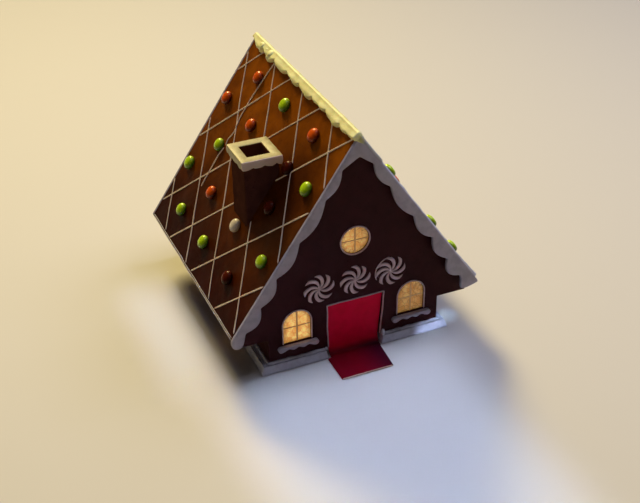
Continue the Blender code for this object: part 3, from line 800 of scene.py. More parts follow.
def roofPart(side, seed):
    y = np.linspace(roofLow[1], roofHigh[1], int((roofHigh[1] - roofLow[1]) / roof["spacing"]) + 1)
    start = roofLow[0] / slopeCosine
    edge, deep, steps = roof["edge"], panelThickness, roof["undersideSteps"]
    down = np.linspace(start, slopeLength - edge, int(slopeLength / roof["spacing"]))
    turn = np.linspace(0, np.pi / 2, 5)[1:]
    along = np.concatenate([
        down, slopeLength - edge + edge * np.sin(turn), slopeLength - edge + edge * np.cos(turn),
        np.linspace(slopeLength - 4 * edge, start + deep * math.tan(pitch), steps),
    ])
    lift = np.concatenate([
        np.zeros(len(down)), edge * (np.cos(turn) - 1), edge * (1 - np.sin(turn)) - deep,
        np.full(steps, -deep),
    ])
    rows, columns = np.meshgrid(y, along, indexing="ij")
    face = np.arange(len(along)) < len(down)
    fromEdge = np.minimum.reduce([columns, slopeLength - columns, rows - y[0], y[-1] - rows])
    wave = (roof["bow"] * swell(rows, columns, roof["bowLength"], seed)
            + roof["ripple"] * swell(rows, columns, roof["rippleLength"], seed + 1))
    lifts = lift + np.where(face, wave * np.clip(fromEdge / roof["levelEdge"], 0, 1), 0.0)
    rim = np.where(face, np.clip(fromEdge, 0, None), 0.0)
    grid = np.concatenate([onSlope(side, columns, lifts, rows), rim[..., None]], -1)
    return gridPart(grid, joinV=True, capU=True)


for side, roofName, node in ((-1, "left_slope", "roof_left"), (1, "right_slope", "roof_right")):
    newPiece(roofName, [roofPart(side, 21 + side)], "roofGingerbread", "roof_gingerbread", (node,))
print("roof panels made")

# scalloped icing along the gable edges
fascia = {"edge": 0.8, "soften": 3.6, "bow": 0.1, "bowLength": 16}
for fasciaName, node, facing, seed in (
        ("front_scallops", "front_fascia", front, 31), ("back_scallops", "back_fascia", back, 33)):
    flatPiece(fasciaName, node, facing, top, "shadedWhiteIcing", "icing", fascia["edge"], 0.3, step=0.8,
              soften=fascia["soften"], keep=360.0, spacing=2.4,
              relief=lambda u, v, seed=seed: fascia["bow"] * swell(u, v, fascia["bowLength"], seed))
print("gable icing made")

# windows: cracked sugar panes with gingerbread bars, a piped outline and a knobbed sill
window = {
    "dome": 0.25, "shard": 0.12, "shardLength": 3.0, "gap": 0.3,
    "line": 1.05, "lineHeight": 0.8, "lineAway": 0.35,
    "bar": 1.6, "crossBar": 1.15, "barHeight": 0.5, "barEnds": 0.2,
    "sillEdge": 0.6, "sillWave": 0.1, "sillWaveLength": 4.0,
}


def archPath(middle, halfWidth, foot, crown, away):
    # up one jamb, over a half circle and down the other, 'away' outside the opening
    radius = halfWidth + away
    spring = crown - halfWidth
    turn = np.linspace(np.pi, 0, 40)
    arc = np.stack([middle + radius * np.cos(turn), spring + radius * np.sin(turn)], -1)
    return evenly(np.vstack([[middle - radius, foot], arc, [middle + radius, foot]]), 0.7)


def ringPath(middle, centreHeight, radius):
    turn = np.linspace(0, 2 * np.pi, 96, endpoint=False)
    return np.stack([middle + radius * np.cos(turn), centreHeight + radius * np.sin(turn)], -1)


def onWall(path, facing, depth):
    # a drawing across and up, stood on the plane at 'depth' along facing
    return path[:, :1] * np.cross(top, facing) + path[:, 1:] * top + depth * facing


def wobble(path, seed, amount=0.08, length=9.0):
    # widths of a hand-piped line along a path, as shares of the full width
    run = distanceAlong(path)
    return 1 + amount * swell(run, 0, length, seed)


def windowBars(facing, depth, middle, halfWidth, foot, crown, trim, sink, seed, uneven=0.08):
    # an upright and a level bar that cross halfway up the opening
    waist = (foot + crown) / 2
    bars = []
    for start, end, width in (
            ((middle, foot + window["barEnds"]), (middle, crown - trim), window["bar"]),
            ((middle - halfWidth + trim, waist), (middle + halfWidth - trim, waist), window["crossBar"])):
        path = onWall(np.linspace(start, end, 30), facing, depth)
        width = width * wobble(path, seed, uneven)
        bars.append(pipedPart(path, facing, width, window["barHeight"], sink=sink))
    return bars


def windowLine(path, facing, depth, seed, closed=False):
    path = onWall(path, facing, depth)
    width = window["line"] * wobble(path, seed)
    return pipedPart(path, facing, width, window["lineHeight"], closed=closed)


def shardRelief(dome, seed):
    return lambda u, v: dome + window["shard"] * swell(u, v, window["shardLength"], seed)


def makeGableWindows(prefix, facing):
    low, high = boxOf(prefix + "_wall")
    gableFace = max(low[1] * facing[1], high[1] * facing[1])
    lines, bars = [], []
    for number, place in enumerate(("round", "left", "right")):
        node = f"{prefix}_pane_{place}"
        low, high = boxOf(node)
        flatPiece(f"{prefix}_sugar_{place}", node, facing, top, "sugarPane", "sugar_pane", 0.3, step=0.7,
                  soften=2.0, keep=28.0, spacing=0.9, relief=shardRelief(window["dome"], 41 + number))
        middle = -facing[1] * (low[0] + high[0]) / 2
        halfWidth = (high[0] - low[0]) / 2 + window["gap"]
        foot, crown = low[2] - window["gap"], high[2] + window["gap"]
        if place == "round":
            outline = ringPath(middle, (foot + crown) / 2, halfWidth + window["lineAway"])
        else:
            outline = archPath(middle, halfWidth, foot, crown, window["lineAway"])
        lines.append(windowLine(outline, facing, gableFace, 51 + number, place == "round"))
        paneFace = max(low[1] * facing[1], high[1] * facing[1])
        bars += windowBars(facing, paneFace + window["dome"] * 0.6, middle, halfWidth, foot, crown,
                           window["barEnds"], 0.6, 61 + number)
    for place in ("left", "right"):
        flatPiece(f"{prefix}_ledge_{place}", f"{prefix}_sill_{place}", facing, top, "shadedWhiteIcing", "icing",
                  window["sillEdge"], step=0.5, soften=2.0, keep=360.0, spacing=1.1,
                  relief=lambda u, v: window["sillWave"] * swell(u, v, window["sillWaveLength"], 71))
    newPiece(f"{prefix}_window_lines", lines, "facadeIcing", "cream_icing")
    newPiece(f"{prefix}_window_bars", bars, "windowBar", "roof_gingerbread")


makeGableWindows("front", front)
makeGableWindows("back", back)
print("windows made")

# swirls: blades of icing that widen and curl round as they run out from a small hub
swirl = {"blades": 8, "hub": 1.5, "curl": 0.95, "curlPower": 1.5, "rimShare": 0.47, "hubHalfWidth": 0.25,
         "height": 0.85, "sunk": 0.25, "start": 0.6, "uneven": 0.05,
         "ring": 0.7, "ringHeight": 0.5, "ringTurn": (95.0, 205.0)}


def swirlParts(node, facing, seed, ringed):
    # a blade is a strip of arcs round the centre; its middle turns further as it runs out, and it widens
    low, high = boxOf(node)
    centre = (low + high) / 2
    centre += facing * (min(low @ facing, high @ facing) - swirl["sunk"] - centre @ facing)
    radius = (high[2] - low[2]) / 2
    across = np.cross(top, facing)
    wander = np.random.default_rng(seed)
    share = np.linspace(0, 1, 26)[:, None]
    side = np.cos(np.linspace(0, np.pi, 13))
    crown = np.clip(1 - np.abs(side) ** 3.5, 0, 1) ** 0.5 * np.clip((1 - share) * 9, 0.0, 1.0) ** 0.5
    lift = np.concatenate([crown * swirl["height"] + swirl["sunk"], np.zeros((26, 2))], 1)
    side = np.concatenate([side, [-1.0, 1.0]])
    hubHalf = swirl["hubHalfWidth"]
    rimHalf = np.pi * radius / swirl["blades"] * swirl["rimShare"]
    parts = []
    for blade in range(swirl["blades"]):
        length = radius * (1 - swirl["uneven"] * wander.random())
        reach = swirl["start"] + (length - swirl["start"]) * share
        curl = swirl["curl"] * (reach / radius) ** swirl["curlPower"]
        middle = 2 * np.pi * blade / swirl["blades"] + curl + swirl["uneven"] * wander.normal()
        half = (hubHalf + (rimHalf - hubHalf) * share ** 0.85) / np.maximum(reach, 0.01)
        angle = middle + half * side
        cut = reach - 0.2 * share ** 6 * side ** 2  # blunt ends with soft corners
        grid = (centre + (cut * np.cos(angle))[..., None] * across
                + (cut * np.sin(angle))[..., None] * top + lift[..., None] * facing)
        parts.append(gridPart(grid, joinV=True, capU=True))
    hub = swirl["hub"]
    hubProfile = [(0.0, 0.0), (hub, 0.0), (hub * 0.95, 0.75), (hub * 0.6, 1.12), (0.0, 1.22)]
    parts.append(domePart(centre, facing, hubProfile, 16))
    if ringed:
        turn = np.radians(np.linspace(*swirl["ringTurn"], 60))[:, None]
        path = centre + facing * 0.3 + radius * (np.cos(turn) * across + np.sin(turn) * top)
        parts.append(pipedPart(path, facing, swirl["ring"], swirl["ringHeight"]))
    return parts


for prefix, facing in (("front", front), ("back", back)):
    for number, place in enumerate(("left", "middle", "right")):
        node = f"{prefix}_pinwheel_{place}"
        newPiece(f"{prefix}_swirl_{place}", swirlParts(node, facing, 81 + number, place == "right"),
                 "facadeIcing", "icing", (node,), crease=60)
print("swirls made")

# icing on the roof: a lattice of thin lines that slant both ways; falling and rising say where each starts
lattice = {"slant": 0.88, "falling": (166.6, 110.8, 54.9, 0.5, -53.8, -109.4),
           "rising": (43.2, 98.3, 153.0, 207.8, 262.0, 315.8),
           "width": 1.22, "height": 0.55, "start": 4.5, "end": 2.6, "margin": 3.1, "clear": 0.6,
           "wobble": 0.25, "wobbleLength": 40.0}


def latticePaths(side):
    # straight slanting lines within the borders, as points of (along, y);
    # on the left slope they stop short of the chimney
    low, high = boxOf("chimney_stack")
    clear, margin = lattice["clear"], lattice["margin"]
    along = np.linspace(lattice["start"], slopeLength - lattice["end"], 240)
    stackFront, stackBack = low[1] - roofFront - clear, high[1] - roofFront + clear
    besideStack = (along > -high[0] / slopeCosine - clear) & (along < -low[0] / slopeCosine + clear)
    for slant, starts in ((lattice["slant"], lattice["falling"]), (-lattice["slant"], lattice["rising"])):
        for start in starts:
            y = slant * along + start
            kept = (y > margin) & (y < roofLength - margin)
            if side < 0:
                kept &= ~(besideStack & (y > stackFront) & (y < stackBack))
            for run in np.split(np.arange(len(along)), np.flatnonzero(np.diff(kept.astype(int))) + 1):
                if kept[run[0]] and len(run) > 6:
                    yield np.stack([along[run], y[run]], -1)


def pipedOnSlope(side, path, seed, width, height, lift=0.0):
    # 'path' holds (along, distance from the roof's front edge)
    path = evenly(path, 1.5)
    drift = lattice["wobble"] * swell(path[:, 0], path[:, 1], lattice["wobbleLength"], seed)
    points = onSlope(side, path[:, 0] + drift, lift, path[:, 1] + roofFront + drift)
    return pipedPart(points, slopeNormal(side), width * wobble(points, seed, 0.1), height)


for side, latticeName in ((-1, "left_lattice"), (1, "right_lattice")):
    newPiece(latticeName, [
        pipedOnSlope(side, path, 101 + 7 * number, lattice["width"], lattice["height"])
        for number, path in enumerate(latticePaths(side))], "lineIcing", "cream_icing")

# a thin double line along the left eave: (distance from the eave, width)
eaveLines = {"lines": ((0.6, 0.6), (1.9, 0.55)), "height": 0.4, "fromEnd": 3.2}
newPiece("left_eave_lines", [
    pipedOnSlope(-1, np.array([[slopeLength - fromEave, eaveLines["fromEnd"]],
                               [slopeLength - fromEave, roofLength - eaveLines["fromEnd"]]]),
                 151, width, eaveLines["height"])
    for fromEave, width in eaveLines["lines"]], "shadedWhiteIcing", "icing")
print("lattice made")

# a thread of icing that ran astray over the left slope: stretches of (along, distance from the front)
strayThread = {"width": 1.1, "height": 0.5, "lift": 0.25, "stretches": (
    ((4.9, 148.5), (23.5, 150.8), (40.8, 152.4), (57.5, 151.9), (67.0, 149.2)),
    ((66.0, 149.0), (69.5, 148.6), (73.0, 149.2), (77.0, 151.2), (82.4, 149.8)),
    ((84.0, 149.6), (92.0, 151.4), (102.7, 150.9), (114.1, 150.6), (121.5, 149.9)),
)}
newPiece("stray_thread", [
    pipedOnSlope(-1, np.array(stretch), 161 + number, strayThread["width"], strayThread["height"],
                 strayThread["lift"])
    for number, stretch in enumerate(strayThread["stretches"])], "lineIcing", "cream_icing")

# ridge icing: short scallops on the left slope, long drips on the right one
ridge = {"leftWidth": 4.0, "leftScallop": 3.4, "leftPitch": 24.5, "leftFirst": 24.0, "leftRipple": 0.6,
         "leftUneven": 0.35, "unevenPitch": 26, "leftNarrows": (182, 6),
         "rightWidth": 21.0, "rightDrip": 9.0, "rightPitch": 33.0,
         "thickness": 3.7, "crest": 0.60, "fullest": 4.0, "rightFull": 0.38, "rightReach": 5.0,
         "edge": 1.8, "step": 0.8, "dripSwell": 0.3}


def ridgeWidths(y):
    # scallops are the upper halves of a wave, uneven in size; drips follow a cosine from the front edge
    fromFront = y - roofFront
    turn = np.pi * (fromFront - ridge["leftFirst"]) / ridge["leftPitch"]
    uneven = ridge["leftUneven"] * swell(fromFront, 0, ridge["unevenPitch"], 172)
    scallops = ridge["leftScallop"] * np.clip(0.8 + uneven, 0.4, 1.2) * np.abs(np.sin(turn)) ** 0.8
    leftWidth = ridge["leftWidth"] + scallops + ridge["leftRipple"] * np.abs(np.sin(2 * turn))
    narrowFrom, narrowOver = ridge["leftNarrows"]
    leftWidth = leftWidth * (1 - 0.35 * np.clip((fromFront - narrowFrom) / narrowOver, 0, 1))
    wave = np.cos(2 * np.pi * fromFront / ridge["rightPitch"])
    rightWidth = ridge["rightWidth"] + ridge["rightDrip"] * np.tanh(1.3 * wave) / math.tanh(1.3)
    return leftWidth, rightWidth, wave


def ridgePart():
    low, high = boxOf("ridge_icing")
    y = np.linspace(low[1], high[1], int((high[1] - low[1]) / ridge["step"]))[:, None]
    leftWidth, rightWidth, wave = ridgeWidths(y)
    fromEnd = np.clip(np.minimum(y - low[1], high[1] - y) / 1.5, 0, 1)
    thick = ridge["thickness"] * (0.45 + 0.55 * quarterRound(fromEnd))
    thick = thick * (1 + 0.12 * swell(y, 0, 14, 173))

    def side(sign, width, share, swelling):
        along = width * share
        # on the left slope it is full just before its rounded edge, so that its top lies nearly level
        fromEdge = np.clip((width - along) / ridge["edge"], 0, 1)
        # and on the right slope it thins out below the ridge
        reach, full = (ridge["fullest"], 1.0) if sign < 0 else (ridge["rightReach"], ridge["rightFull"])
        build = ridge["crest"] + (full - ridge["crest"]) * np.clip(along / reach, 0, 1)
        lift = build * thick * quarterRound(fromEdge)
        lift = lift + swelling * np.exp(-((width - along - 4) / 3.5) ** 2)
        return onSlope(sign, along, lift * np.clip(fromEdge * 8, 0, 1) + 0.02, y)

    outwards = 1 - (1 - np.linspace(0, 1, 16)) ** 2.2
    slowing = 1 - (1 - np.linspace(0, 1, 14)[1:]) ** 2
    drips = np.concatenate([np.linspace(0, 0.7, 14), 0.7 + 0.3 * slowing])
    turn = np.linspace(-pitch, pitch, 9)[1:-1]
    radius = thick * ridge["crest"]
    crest = np.broadcast_arrays(radius * np.sin(turn), y, ridgeHeight + radius * np.cos(turn))
    under = np.linspace(1, 0, 6)
    swelling = ridge["dripSwell"] * np.clip(wave, 0, 1)
    grid = np.concatenate([
        side(-1, leftWidth, outwards[::-1], 0.0), np.stack(crest, -1),
        side(1, rightWidth, drips, swelling),
        onSlope(1, rightWidth * under, -0.15, y), onSlope(-1, leftWidth * under[::-1], -0.15, y)[:, 1:],
    ], 1)
    return gridPart(grid, joinV=True, capU=True)


# dollops where the piping began, at the back: (along, distance from the front, radius, height)
dollops = ((3.2, 175.5, 4.8, 4.0), (3.8, 157.5, 5.4, 4.3), (3.0, 166.0, 3.4, 3.4))


def dollopPart(along, fromFront, radius, height, seed):
    # a quarter of an ellipse turned into a dome on the left slope, with soft bumps on it
    centre = onSlope(-1, along, 0.0, fromFront + roofFront)
    turn = np.linspace(0, np.pi / 2, 12)
    profile = [(0.0, -0.2), *zip(radius * np.cos(turn), height * np.sin(turn))]
    points, quads, fans = domePart(centre, slopeNormal(-1), profile, 32)
    outward = points - centre
    bumps = 1 + 0.07 * swell(outward[:, 1], outward[:, 2], 5.0, seed)
    return centre + outward * bumps[:, None], quads, fans


dollopParts = [dollopPart(*dollop, 181 + number) for number, dollop in enumerate(dollops)]
newPiece("ridge_icing_piped", [ridgePart(), *dollopParts], "creamIcing", "cream_icing", ("ridge_icing",),
         crease=55)
print("ridge icing made")

# candy buttons: a sugar shell with a soft shoulder, where the frame has them
candy = {"steps": 30, "levels": 14, "shoulder": 2.3, "sunk": 0.25, "uneven": 0.02, "oval": 0.05,
         "crown": 0.8, "lean": 0.34,
         "shadedRed": ("candy_left_2b", "candy_left_3a", "candy_left_5a")}
candyLook = {"green_candy": "greenCandy", "red_candy": "redCandy", "white_candy": "whiteCandy"}
slotOf = {entry["node"]: entry["material_slot"] for entry in frame["record"]["subparts"]}


def candyPart(node, seed):
    # a squashed ball, flat below: radius and height follow a superellipse; it stands on the node's foot
    side = -1 if "left" in node else 1
    normal = slopeNormal(side)
    mesh = frame["nodes"][node].data
    spots = np.zeros(len(mesh.vertices) * 3)
    mesh.vertices.foreach_get("co", spots)
    spots = spots.reshape(-1, 3) / mm
    height = spots @ normal
    foot = spots[height < height.min() + 0.05]
    centre = (foot.max(0) + foot.min(0)) / 2
    tall = np.ptp(height)
    radius = np.ptp(spots[:, 1]) / 2
    wander = np.random.default_rng(seed)
    angle = np.linspace(-0.5, np.pi / 2, candy["levels"])
    power = 2 / candy["shoulder"]
    up = np.sign(angle) * np.abs(np.sin(angle)) ** power
    up = (up - up[0]) / (1 - up[0]) * (tall + candy["sunk"]) - candy["sunk"]
    out = radius * np.cos(angle) ** power * (1 + candy["uneven"] * wander.normal())
    squash = 1 - candy["oval"] * wander.random()
    points, quads, fans = domePart(centre, normal, [(0.0, up[0]), *zip(out, up)], candy["steps"], squash)
    # painted light: how pale, as lit, the shell is: most on the crown and on the side towards the ridge
    # and the back, where the light comes from; lowest on the far flank, as painted shade
    offset = points - centre
    upwards = np.array([-side * slopeCosine * 0.8, 0.6, slopeSine * 0.8])
    pale = 0.04 + candy["crown"] * (offset @ normal) / tall + candy["lean"] * (offset @ upwards) / radius
    return np.column_stack([points, np.clip(pale, 0, 1)]), quads, fans


for number, node in enumerate(sorted(name for name in frame["nodes"] if name.startswith("candy_"))):
    slotName = slotOf[node]
    # painted shade: the red candies in the chimney's shadow take the darker red shell
    shell = "shadedRedCandy" if node in candy["shadedRed"] else candyLook[slotName]
    newPiece("button" + node[5:], [candyPart(node, 201 + number)], shell, slotName, (node,), crease=50)
print("candy made")

# door: a red sheet hangs in the doorway, bends on the board's notch and lies out in front as a mat
door = {
    # stations of (middle x, half width): top edge, start and end of the bend, back and front of the mat
    "stations": ((0.6, 22.7), (-0.6, 20.6), (-1.2, 20.6), (-3.1, 21.8), (-4.2, 20.9)),
    "radius": 7.0, "thickness": 1.3, "stepOut": (0.4, 1.1), "edge": 0.45,
    "bow": 0.12, "bowLength": 26, "bowedHalf": 22, "lift": 0.25, "sag": 0.3,
    "hem": 1.0, "hemHeight": 0.45, "hemIn": 0.3,
}
doorway = {"top": (0.6, 23.1), "foot": (-0.6, 21.0), "ground": 7.0, "headGap": 0.3,
           "line": 1.0, "lineHeight": 0.8, "lineAway": 0.4}


def makeDoor():
    # the sheet's section runs down the leaf, round the bend and out along the ground, as wide as its
    # stations say
    low, high = boxOf("door_mat")
    half, radius, edge = door["thickness"] / 2, door["radius"], door["edge"]
    leaf = high[1] - half
    matBack, matFront = (boxOf("board")[0][1] - out for out in door["stepOut"])
    turn = np.linspace(0, np.pi / 2, 14)
    drop = np.linspace(high[2], half + radius, 24)[:-1]
    flat = np.concatenate([np.linspace(matBack, matFront, 5), np.linspace(matFront, low[1], 22)[1:]])
    y = np.concatenate([np.full(len(drop), leaf), leaf - radius * (1 - np.cos(turn)), flat])
    z = np.concatenate([drop, half + radius * (1 - np.sin(turn)), np.full(len(flat), half)])
    tilt = np.concatenate([np.zeros(len(drop)), turn, np.full(len(flat), np.pi / 2)])
    run = distanceAlong(np.stack([y, z], -1))
    bent = len(drop) + len(turn)
    stops = run[[0, len(drop), bent, bent + 4, -1]]
    middle, halfWidth = (np.interp(run, stops, values) for values in np.transpose(door["stations"]))

    # half its thickness, thinner at the rounded edges, and how far it bows, sags back or lifts
    share = np.linspace(-1, 1, 49)
    across = share * door["bowedHalf"]
    fromSide = np.clip((np.abs(across) - (door["bowedHalf"] - edge)) / edge, 0, 1)
    fromEnd = np.clip(np.minimum(run, run[-1] - run) / edge, 0, 1)
    body = half * (0.35 + 0.65 * np.sqrt(1 - fromSide ** 2))
    body = body * (0.4 + 0.6 * quarterRound(fromEnd))[:, None]
    bend = door["bow"] * swell(across, run[:, None], door["bowLength"], 301)
    hung = np.clip(run / 6, 0, 1) * np.clip((stops[1] - run) / 12 + 0.5, 0, 1)
    lying = np.clip((run - stops[3]) / 10, 0, 1)
    lift = (bend - door["sag"]) * hung[:, None] + door["lift"] * (0.6 + 0.4 * bend) * lying[:, None]
    outward = np.stack([0 * tilt, -np.cos(tilt), np.sin(tilt)], -1)[:, None]
    path = np.stack([middle, y, z], -1)[:, None]
    faces = []
    for sign in (1, -1):
        aside = (halfWidth[:, None] * share[::sign])[..., None] * right
        faces.append(path + aside + (sign * body + lift)[:, ::sign, None] * outward)
    strip = gridPart(np.concatenate(faces, 1), joinV=True, capU=True)
    newPiece("door_strip", [strip], "redSheet", "red_door", ("door_mat",), crease=50)

    # the mat's cut front edge, paler than its face
    reach = halfWidth[-1] - door["hemIn"]
    level = half + door["lift"]
    hem = np.linspace([middle[-1] - reach, low[1], level], [middle[-1] + reach, low[1], level], 60)
    width = door["hem"] * wobble(hem, 311, 0.15)
    newPiece("mat_hem", [pipedPart(hem, front, width, door["hemHeight"], sink=0.5)], "barGingerbread",
             "roof_gingerbread")

    # a piped line round the doorway
    away = doorway["lineAway"]
    head = high[2] + doorway["headGap"] + away
    (topX, topHalf), (footX, footHalf) = doorway["top"], doorway["foot"]
    corners = np.array([[footX - footHalf - away, doorway["ground"]], [topX - topHalf - away, head],
                        [topX + topHalf + away, head], [footX + footHalf + away, doorway["ground"]]])
    path = onWall(evenly(corners, 0.8), front, -boxOf("front_wall")[0][1])
    path[:, 0] += 0.18 * swell(path[:, 0], path[:, 2], 18, 313)
    path[:, 2] += 0.15 * swell(path[:, 0], path[:, 2], 15, 314)
    line = pipedPart(path, front, doorway["line"] * wobble(path, 312, 0.12), doorway["lineHeight"])
    newPiece("door_line", [line], "facadeIcing", "cream_icing")


makeDoor()
print("door made")

# icing along the foot of the walls, and lumps beside the doorway: (x, y, half width, half depth, height)
footIcing = {"width": 2.6, "height": 1.5, "away": 0.5, "jamb": 24.4, "wave": 0.35, "waveLength": 9.0,
             "swell": 0.22, "swellLength": 6.0,
             "lumps": ((23.2, -93.4, 1.5, 1.6, 5.0), (-24.0, -93.0, 1.2, 1.2, 2.2))}


def makeFoot():
    # half a walk round the house, from the doorway's right jamb to the middle of the back, and its mirror
    side = boxOf("side_wall_right")[1][0] + footIcing["away"]
    gable = boxOf("back_wall")[1][1] + footIcing["away"]
    level = boxOf("board")[1][2] + 0.05
    corners = [(footIcing["jamb"], -gable), (side, -gable), (side, 0.0), (side, gable), (0.0, gable)]
    half = evenly(np.array(corners), 1.0)
    path = np.vstack([half, half[-2::-1] * [-1, 1]])
    wander = footIcing["wave"] * swell(path[:, 0], path[:, 1], footIcing["waveLength"], 321)
    path = np.column_stack([path, np.full(len(path), level)])
    path[:, :2] += wander[:, None] * np.cross(alongPath(path), top)[:, :2]
    swollen = 1 + footIcing["swell"] * swell(path[:, 0], path[:, 1], footIcing["swellLength"], 322)
    width, height = footIcing["width"] * swollen, footIcing["height"] * swollen
    parts = [pipedPart(path, top, width, height, sink=0.0, sides=9)]
    turn = np.linspace(0, np.pi / 2, 9)
    for x, y, wide, deep, tall in footIcing["lumps"]:
        profile = [(0.0, 0.0), *zip(wide * np.cos(turn) ** 0.6, tall * np.sin(turn))]
        parts.append(domePart((x, y, level), top, profile, 20, deep / wide))
    newPiece("foot_icing", parts, "boardIcing", "icing", crease=60)


makeFoot()
print("foot icing made")

# chimney: a square tube of baked dough cut to the slope, and a ring of icing that runs over its edges
chimney = {"corner": 1.2, "bow": 0.12, "bowLength": 14, "flue": 9.0, "flueCorner": 0.8, "lining": 8.7,
           "liningDrop": 0.5, "clear": 0.3}
cap = {"corner": 1.1, "skirt": 1.3, "skirtWave": 0.5, "lobe": 9.5, "lobeShift": 0.9,
       "bump": 0.06, "bumpLength": 7}


def boxLoop(halfX, halfY, corner):
    # a rectangle with round corners, always with the same number of points on each side and corner
    turn = np.linspace(0, np.pi / 2, 7)
    quarters = []
    for k, (sx, sy) in enumerate(((1, 1), (-1, 1), (-1, -1), (1, -1))):
        arc = np.stack([np.cos(turn + k * np.pi / 2), np.sin(turn + k * np.pi / 2)], -1) * corner
        quarters.append(arc + [sx * (halfX - corner), sy * (halfY - corner)])
    sides = [np.linspace(quarters[k - 1][-1], quarters[k][0], 17)[1:-1] for k in (1, 2, 3, 0)]
    return np.vstack([part for pair in zip(quarters, sides) for part in pair])


def levelRing(loop, level):
    return np.column_stack([loop, np.broadcast_to(level, len(loop))])


def makeChimney():
    low, high = boxOf("chimney_stack")
    middle = (low + high)[:2] / 2
    halfStack = (high[0] - low[0]) / 2
    liningTop = boxOf("chimney_cap")[1][2] - chimney["liningDrop"]

    def slopeUnder(loop):
        return ridgeHeight - np.abs(loop[:, 0] + middle[0]) * math.tan(pitch) + chimney["clear"]

    # up the outside, in over the stack's top, up inside the ring of icing, and down the flue
    rows = []
    outer = boxLoop(halfStack, halfStack, chimney["corner"])
    ground = slopeUnder(outer)
    girth = np.arange(len(outer)) * 2 * halfStack * 4 / len(outer)
    for share in np.linspace(0, 1, 20):
        height = ground + (high[2] - ground) * share
        fade = min(1.0, share * 6, (1 - share) * 6)
        bow = 1 + chimney["bow"] / halfStack * swell(girth, height, chimney["bowLength"], 331) * fade
        rows.append(levelRing(outer * bow[:, None] + middle, height))
    flue, lining = (boxLoop(half, half, chimney["flueCorner"])
                    for half in (chimney["flue"] - 0.05, chimney["lining"]))
    rows += [levelRing(flue + middle, high[2]), levelRing(flue + middle, liningTop)]
    drop = slopeUnder(lining) - liningTop
    rows += [levelRing(lining + middle, liningTop + drop * share) for share in np.linspace(0, 1, 10)]
    newPiece("chimney_tube", [gridPart(np.stack(rows + rows[:1]), joinV=True)], "chimneyGingerbread",
             "roof_gingerbread", ("chimney_stack",), crease=50)


def makeCap():
    # a ring of icing: up its inner wall, over the flat top, down the outer wall to a scalloped skirt
    low, high = boxOf("chimney_cap")
    capFoot, capTop = low[2], high[2]
    halfX, halfY = (high - low)[:2] / 2

    def inwards(amount, amountY=None):
        return boxLoop(halfX - amount, halfY - (amount if amountY is None else amountY), cap["corner"])

    outer = inwards(0.0)
    run = distanceAlong(outer)
    lobes = np.abs(np.sin(np.pi * run / cap["lobe"] + cap["lobeShift"])) ** 0.7
    wave = 0.6 + swell(run, 0, cap["lobe"], 333)
    skirt = capFoot + 0.4 - (cap["skirt"] + cap["skirtWave"] * wave) * lobes
    skirt = np.minimum(skirt, capFoot + 0.2)
    bump = cap["bump"] * swell(outer[:, 0], outer[:, 1], cap["bumpLength"], 334)
    rows = []
    for beyond, corner, level in ((0.0, 0.8, capFoot), (0.0, 0.8, capTop - 0.45),
                                  (0.12, 0.85, capTop - 0.12), (0.45, 0.9, capTop)):
        half = chimney["flue"] + beyond
        rows.append((boxLoop(half, half, corner), level))
    for within, level in ((3.0, capTop + 0.1), (0.5, capTop), (0.15, capTop - 0.12), (0.0, capTop - 0.5)):
        rows.append((inwards(within), level + bump))
    for share in (0.25, 0.5, 0.75, 0.9, 1.0):
        puff = 0.2 * math.sin(share * np.pi) - 1.5 * max(0.0, share - 0.8)
        rows.append((inwards(-puff), (capTop - 0.5) + (skirt - (capTop - 0.5)) * share))
    rows += [(inwards(1.5), skirt + 0.35), (inwards(2.0, 2.7), capFoot)]
    middle = (low + high)[:2] / 2
    grid = np.stack([levelRing(loop + middle, level) for loop, level in rows])
    newPiece("chimney_icing", [gridPart(grid, joinU=True, joinV=True)], "capIcing", "cream_icing",
             ("chimney_cap",), crease=50)


makeChimney()
makeCap()
print("chimney made")

# the right slope's borders: beads that grow into a thick end at the eave, and a line along the eave
rightBorder = {"fromEdge": 1.7, "start": 27.0, "stop": 1.4, "width": 2.2, "height": 0.9, "bead": 0.25,
               "beadLength": 13.0, "endWidth": 4.0, "endHeight": 2.4, "endLength": 30.0}
rightEave = {"fromEave": 1.5, "fromEnd": 3.0, "width": 2.4, "height": 1.1, "wave": 0.18, "waveLength": 9}


def makeRightBorder():
    lines = []
    border = rightBorder
    for number, inward in enumerate((1, -1)):
        fromFront = border["fromEdge"] if inward > 0 else roofLength - border["fromEdge"]
        along = np.linspace(border["start"], slopeLength - border["stop"], 220)
        end = np.clip((along - slopeLength + border["endLength"]) / border["endLength"], 0, 1)
        bead = 1 + border["bead"] * swell(along, 0, border["beadLength"], 341 + number)
        width = border["width"] * (0.8 + 0.2 * bead) * (1 - end) + border["endWidth"] * end
        height = border["height"] * bead * (1 - end) + border["endHeight"] * end
        shift = inward * (width - border["width"]) / 2
        path = onSlope(1, along, 0.0, fromFront + shift + roofFront)
        lines.append(pipedPart(path, slopeNormal(1), width, height))
    y = np.linspace(rightEave["fromEnd"], roofLength - rightEave["fromEnd"], 240)
    wave = 1 + rightEave["wave"] * swell(y, 0, rightEave["waveLength"], 343)
    path = onSlope(1, slopeLength - rightEave["fromEave"], 0.0, y + roofFront)
    lines.append(pipedPart(path, slopeNormal(1), rightEave["width"] * wave, rightEave["height"] * wave))
    newPiece("right_border", lines, "boardIcing", "cream_icing")


makeRightBorder()
print("right border made")

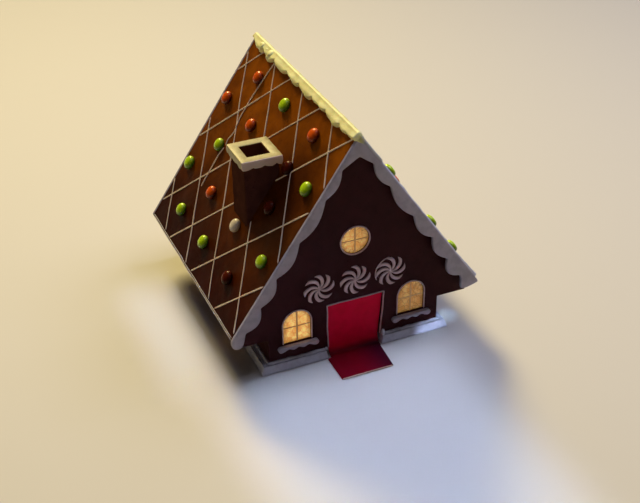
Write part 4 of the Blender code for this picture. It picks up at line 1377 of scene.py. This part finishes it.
# side walls: two small arched windows each, laid on the wall like those of the gables
sideWindow = {"places": (-44.0, 44.0), "foot": 15.0, "halfWidth": 8.5, "crown": 36.0,
              "dome": 0.7, "edge": 0.4, "bow": 0.25, "paneAway": -0.2, "lineAway": 0.2, "barLift": 0.1,
              "ledgeHalf": 12.5, "ledgeDrop": 1.2, "ledgeWave": 0.25, "ledgeWidth": 2.6,
              "ledgeHeight": 1.6}


def makeSideWindows(name, facing, wallNode):
    low, high = boxOf(wallNode)
    face = max(low @ facing, high @ facing)
    halfWidth, foot, crown = (sideWindow[key] for key in ("halfWidth", "foot", "crown"))
    lines, bars, panes, sills = [], [], [], []
    for number, middle in enumerate(sideWindow["places"]):
        seed = 351 + number + 4 * (facing[0] > 0)
        outline = archPath(middle, halfWidth, foot, crown, sideWindow["paneAway"])
        loop = np.vstack([outline, np.linspace(outline[-1], outline[0], 24)[1:-1]])[::-1]
        plate = plateParts([loop], roundEdge(sideWindow["dome"], sideWindow["edge"]), 0.9,
                           shardRelief(sideWindow["bow"], seed))
        panes += placed(plate, facing * face, facing, top)
        outline = archPath(middle, halfWidth, foot, crown, sideWindow["lineAway"])
        lines.append(windowLine(outline, facing, face, seed))
        depth = face + sideWindow["dome"] + sideWindow["barLift"]
        bars += windowBars(facing, depth, middle, halfWidth, foot, crown, 0.0, 0.5, seed, uneven=0.0)
        level, reach = foot - sideWindow["ledgeDrop"], sideWindow["ledgeHalf"]
        ledge = np.linspace([middle - reach, level], [middle + reach, level], 60)
        ledge[:, 1] += sideWindow["ledgeWave"] * swell(ledge[:, 0], 0, 8, seed)
        path = onWall(ledge, facing, face)
        width = sideWindow["ledgeWidth"] * wobble(path, seed, 0.15)
        sills.append(pipedPart(path, facing, width, sideWindow["ledgeHeight"], taper=1.6))
    newPiece(f"{name}_panes", panes, "sugarPane", "sugar_pane")
    newPiece(f"{name}_lines", lines, "facadeIcing", "cream_icing")
    newPiece(f"{name}_bars", bars, "windowBar", "roof_gingerbread")
    newPiece(f"{name}_ledges", sills, "shadedWhiteIcing", "icing")


makeSideWindows("left_wall", left, "side_wall_left")
makeSideWindows("right_wall", right, "side_wall_right")
print("side windows made")
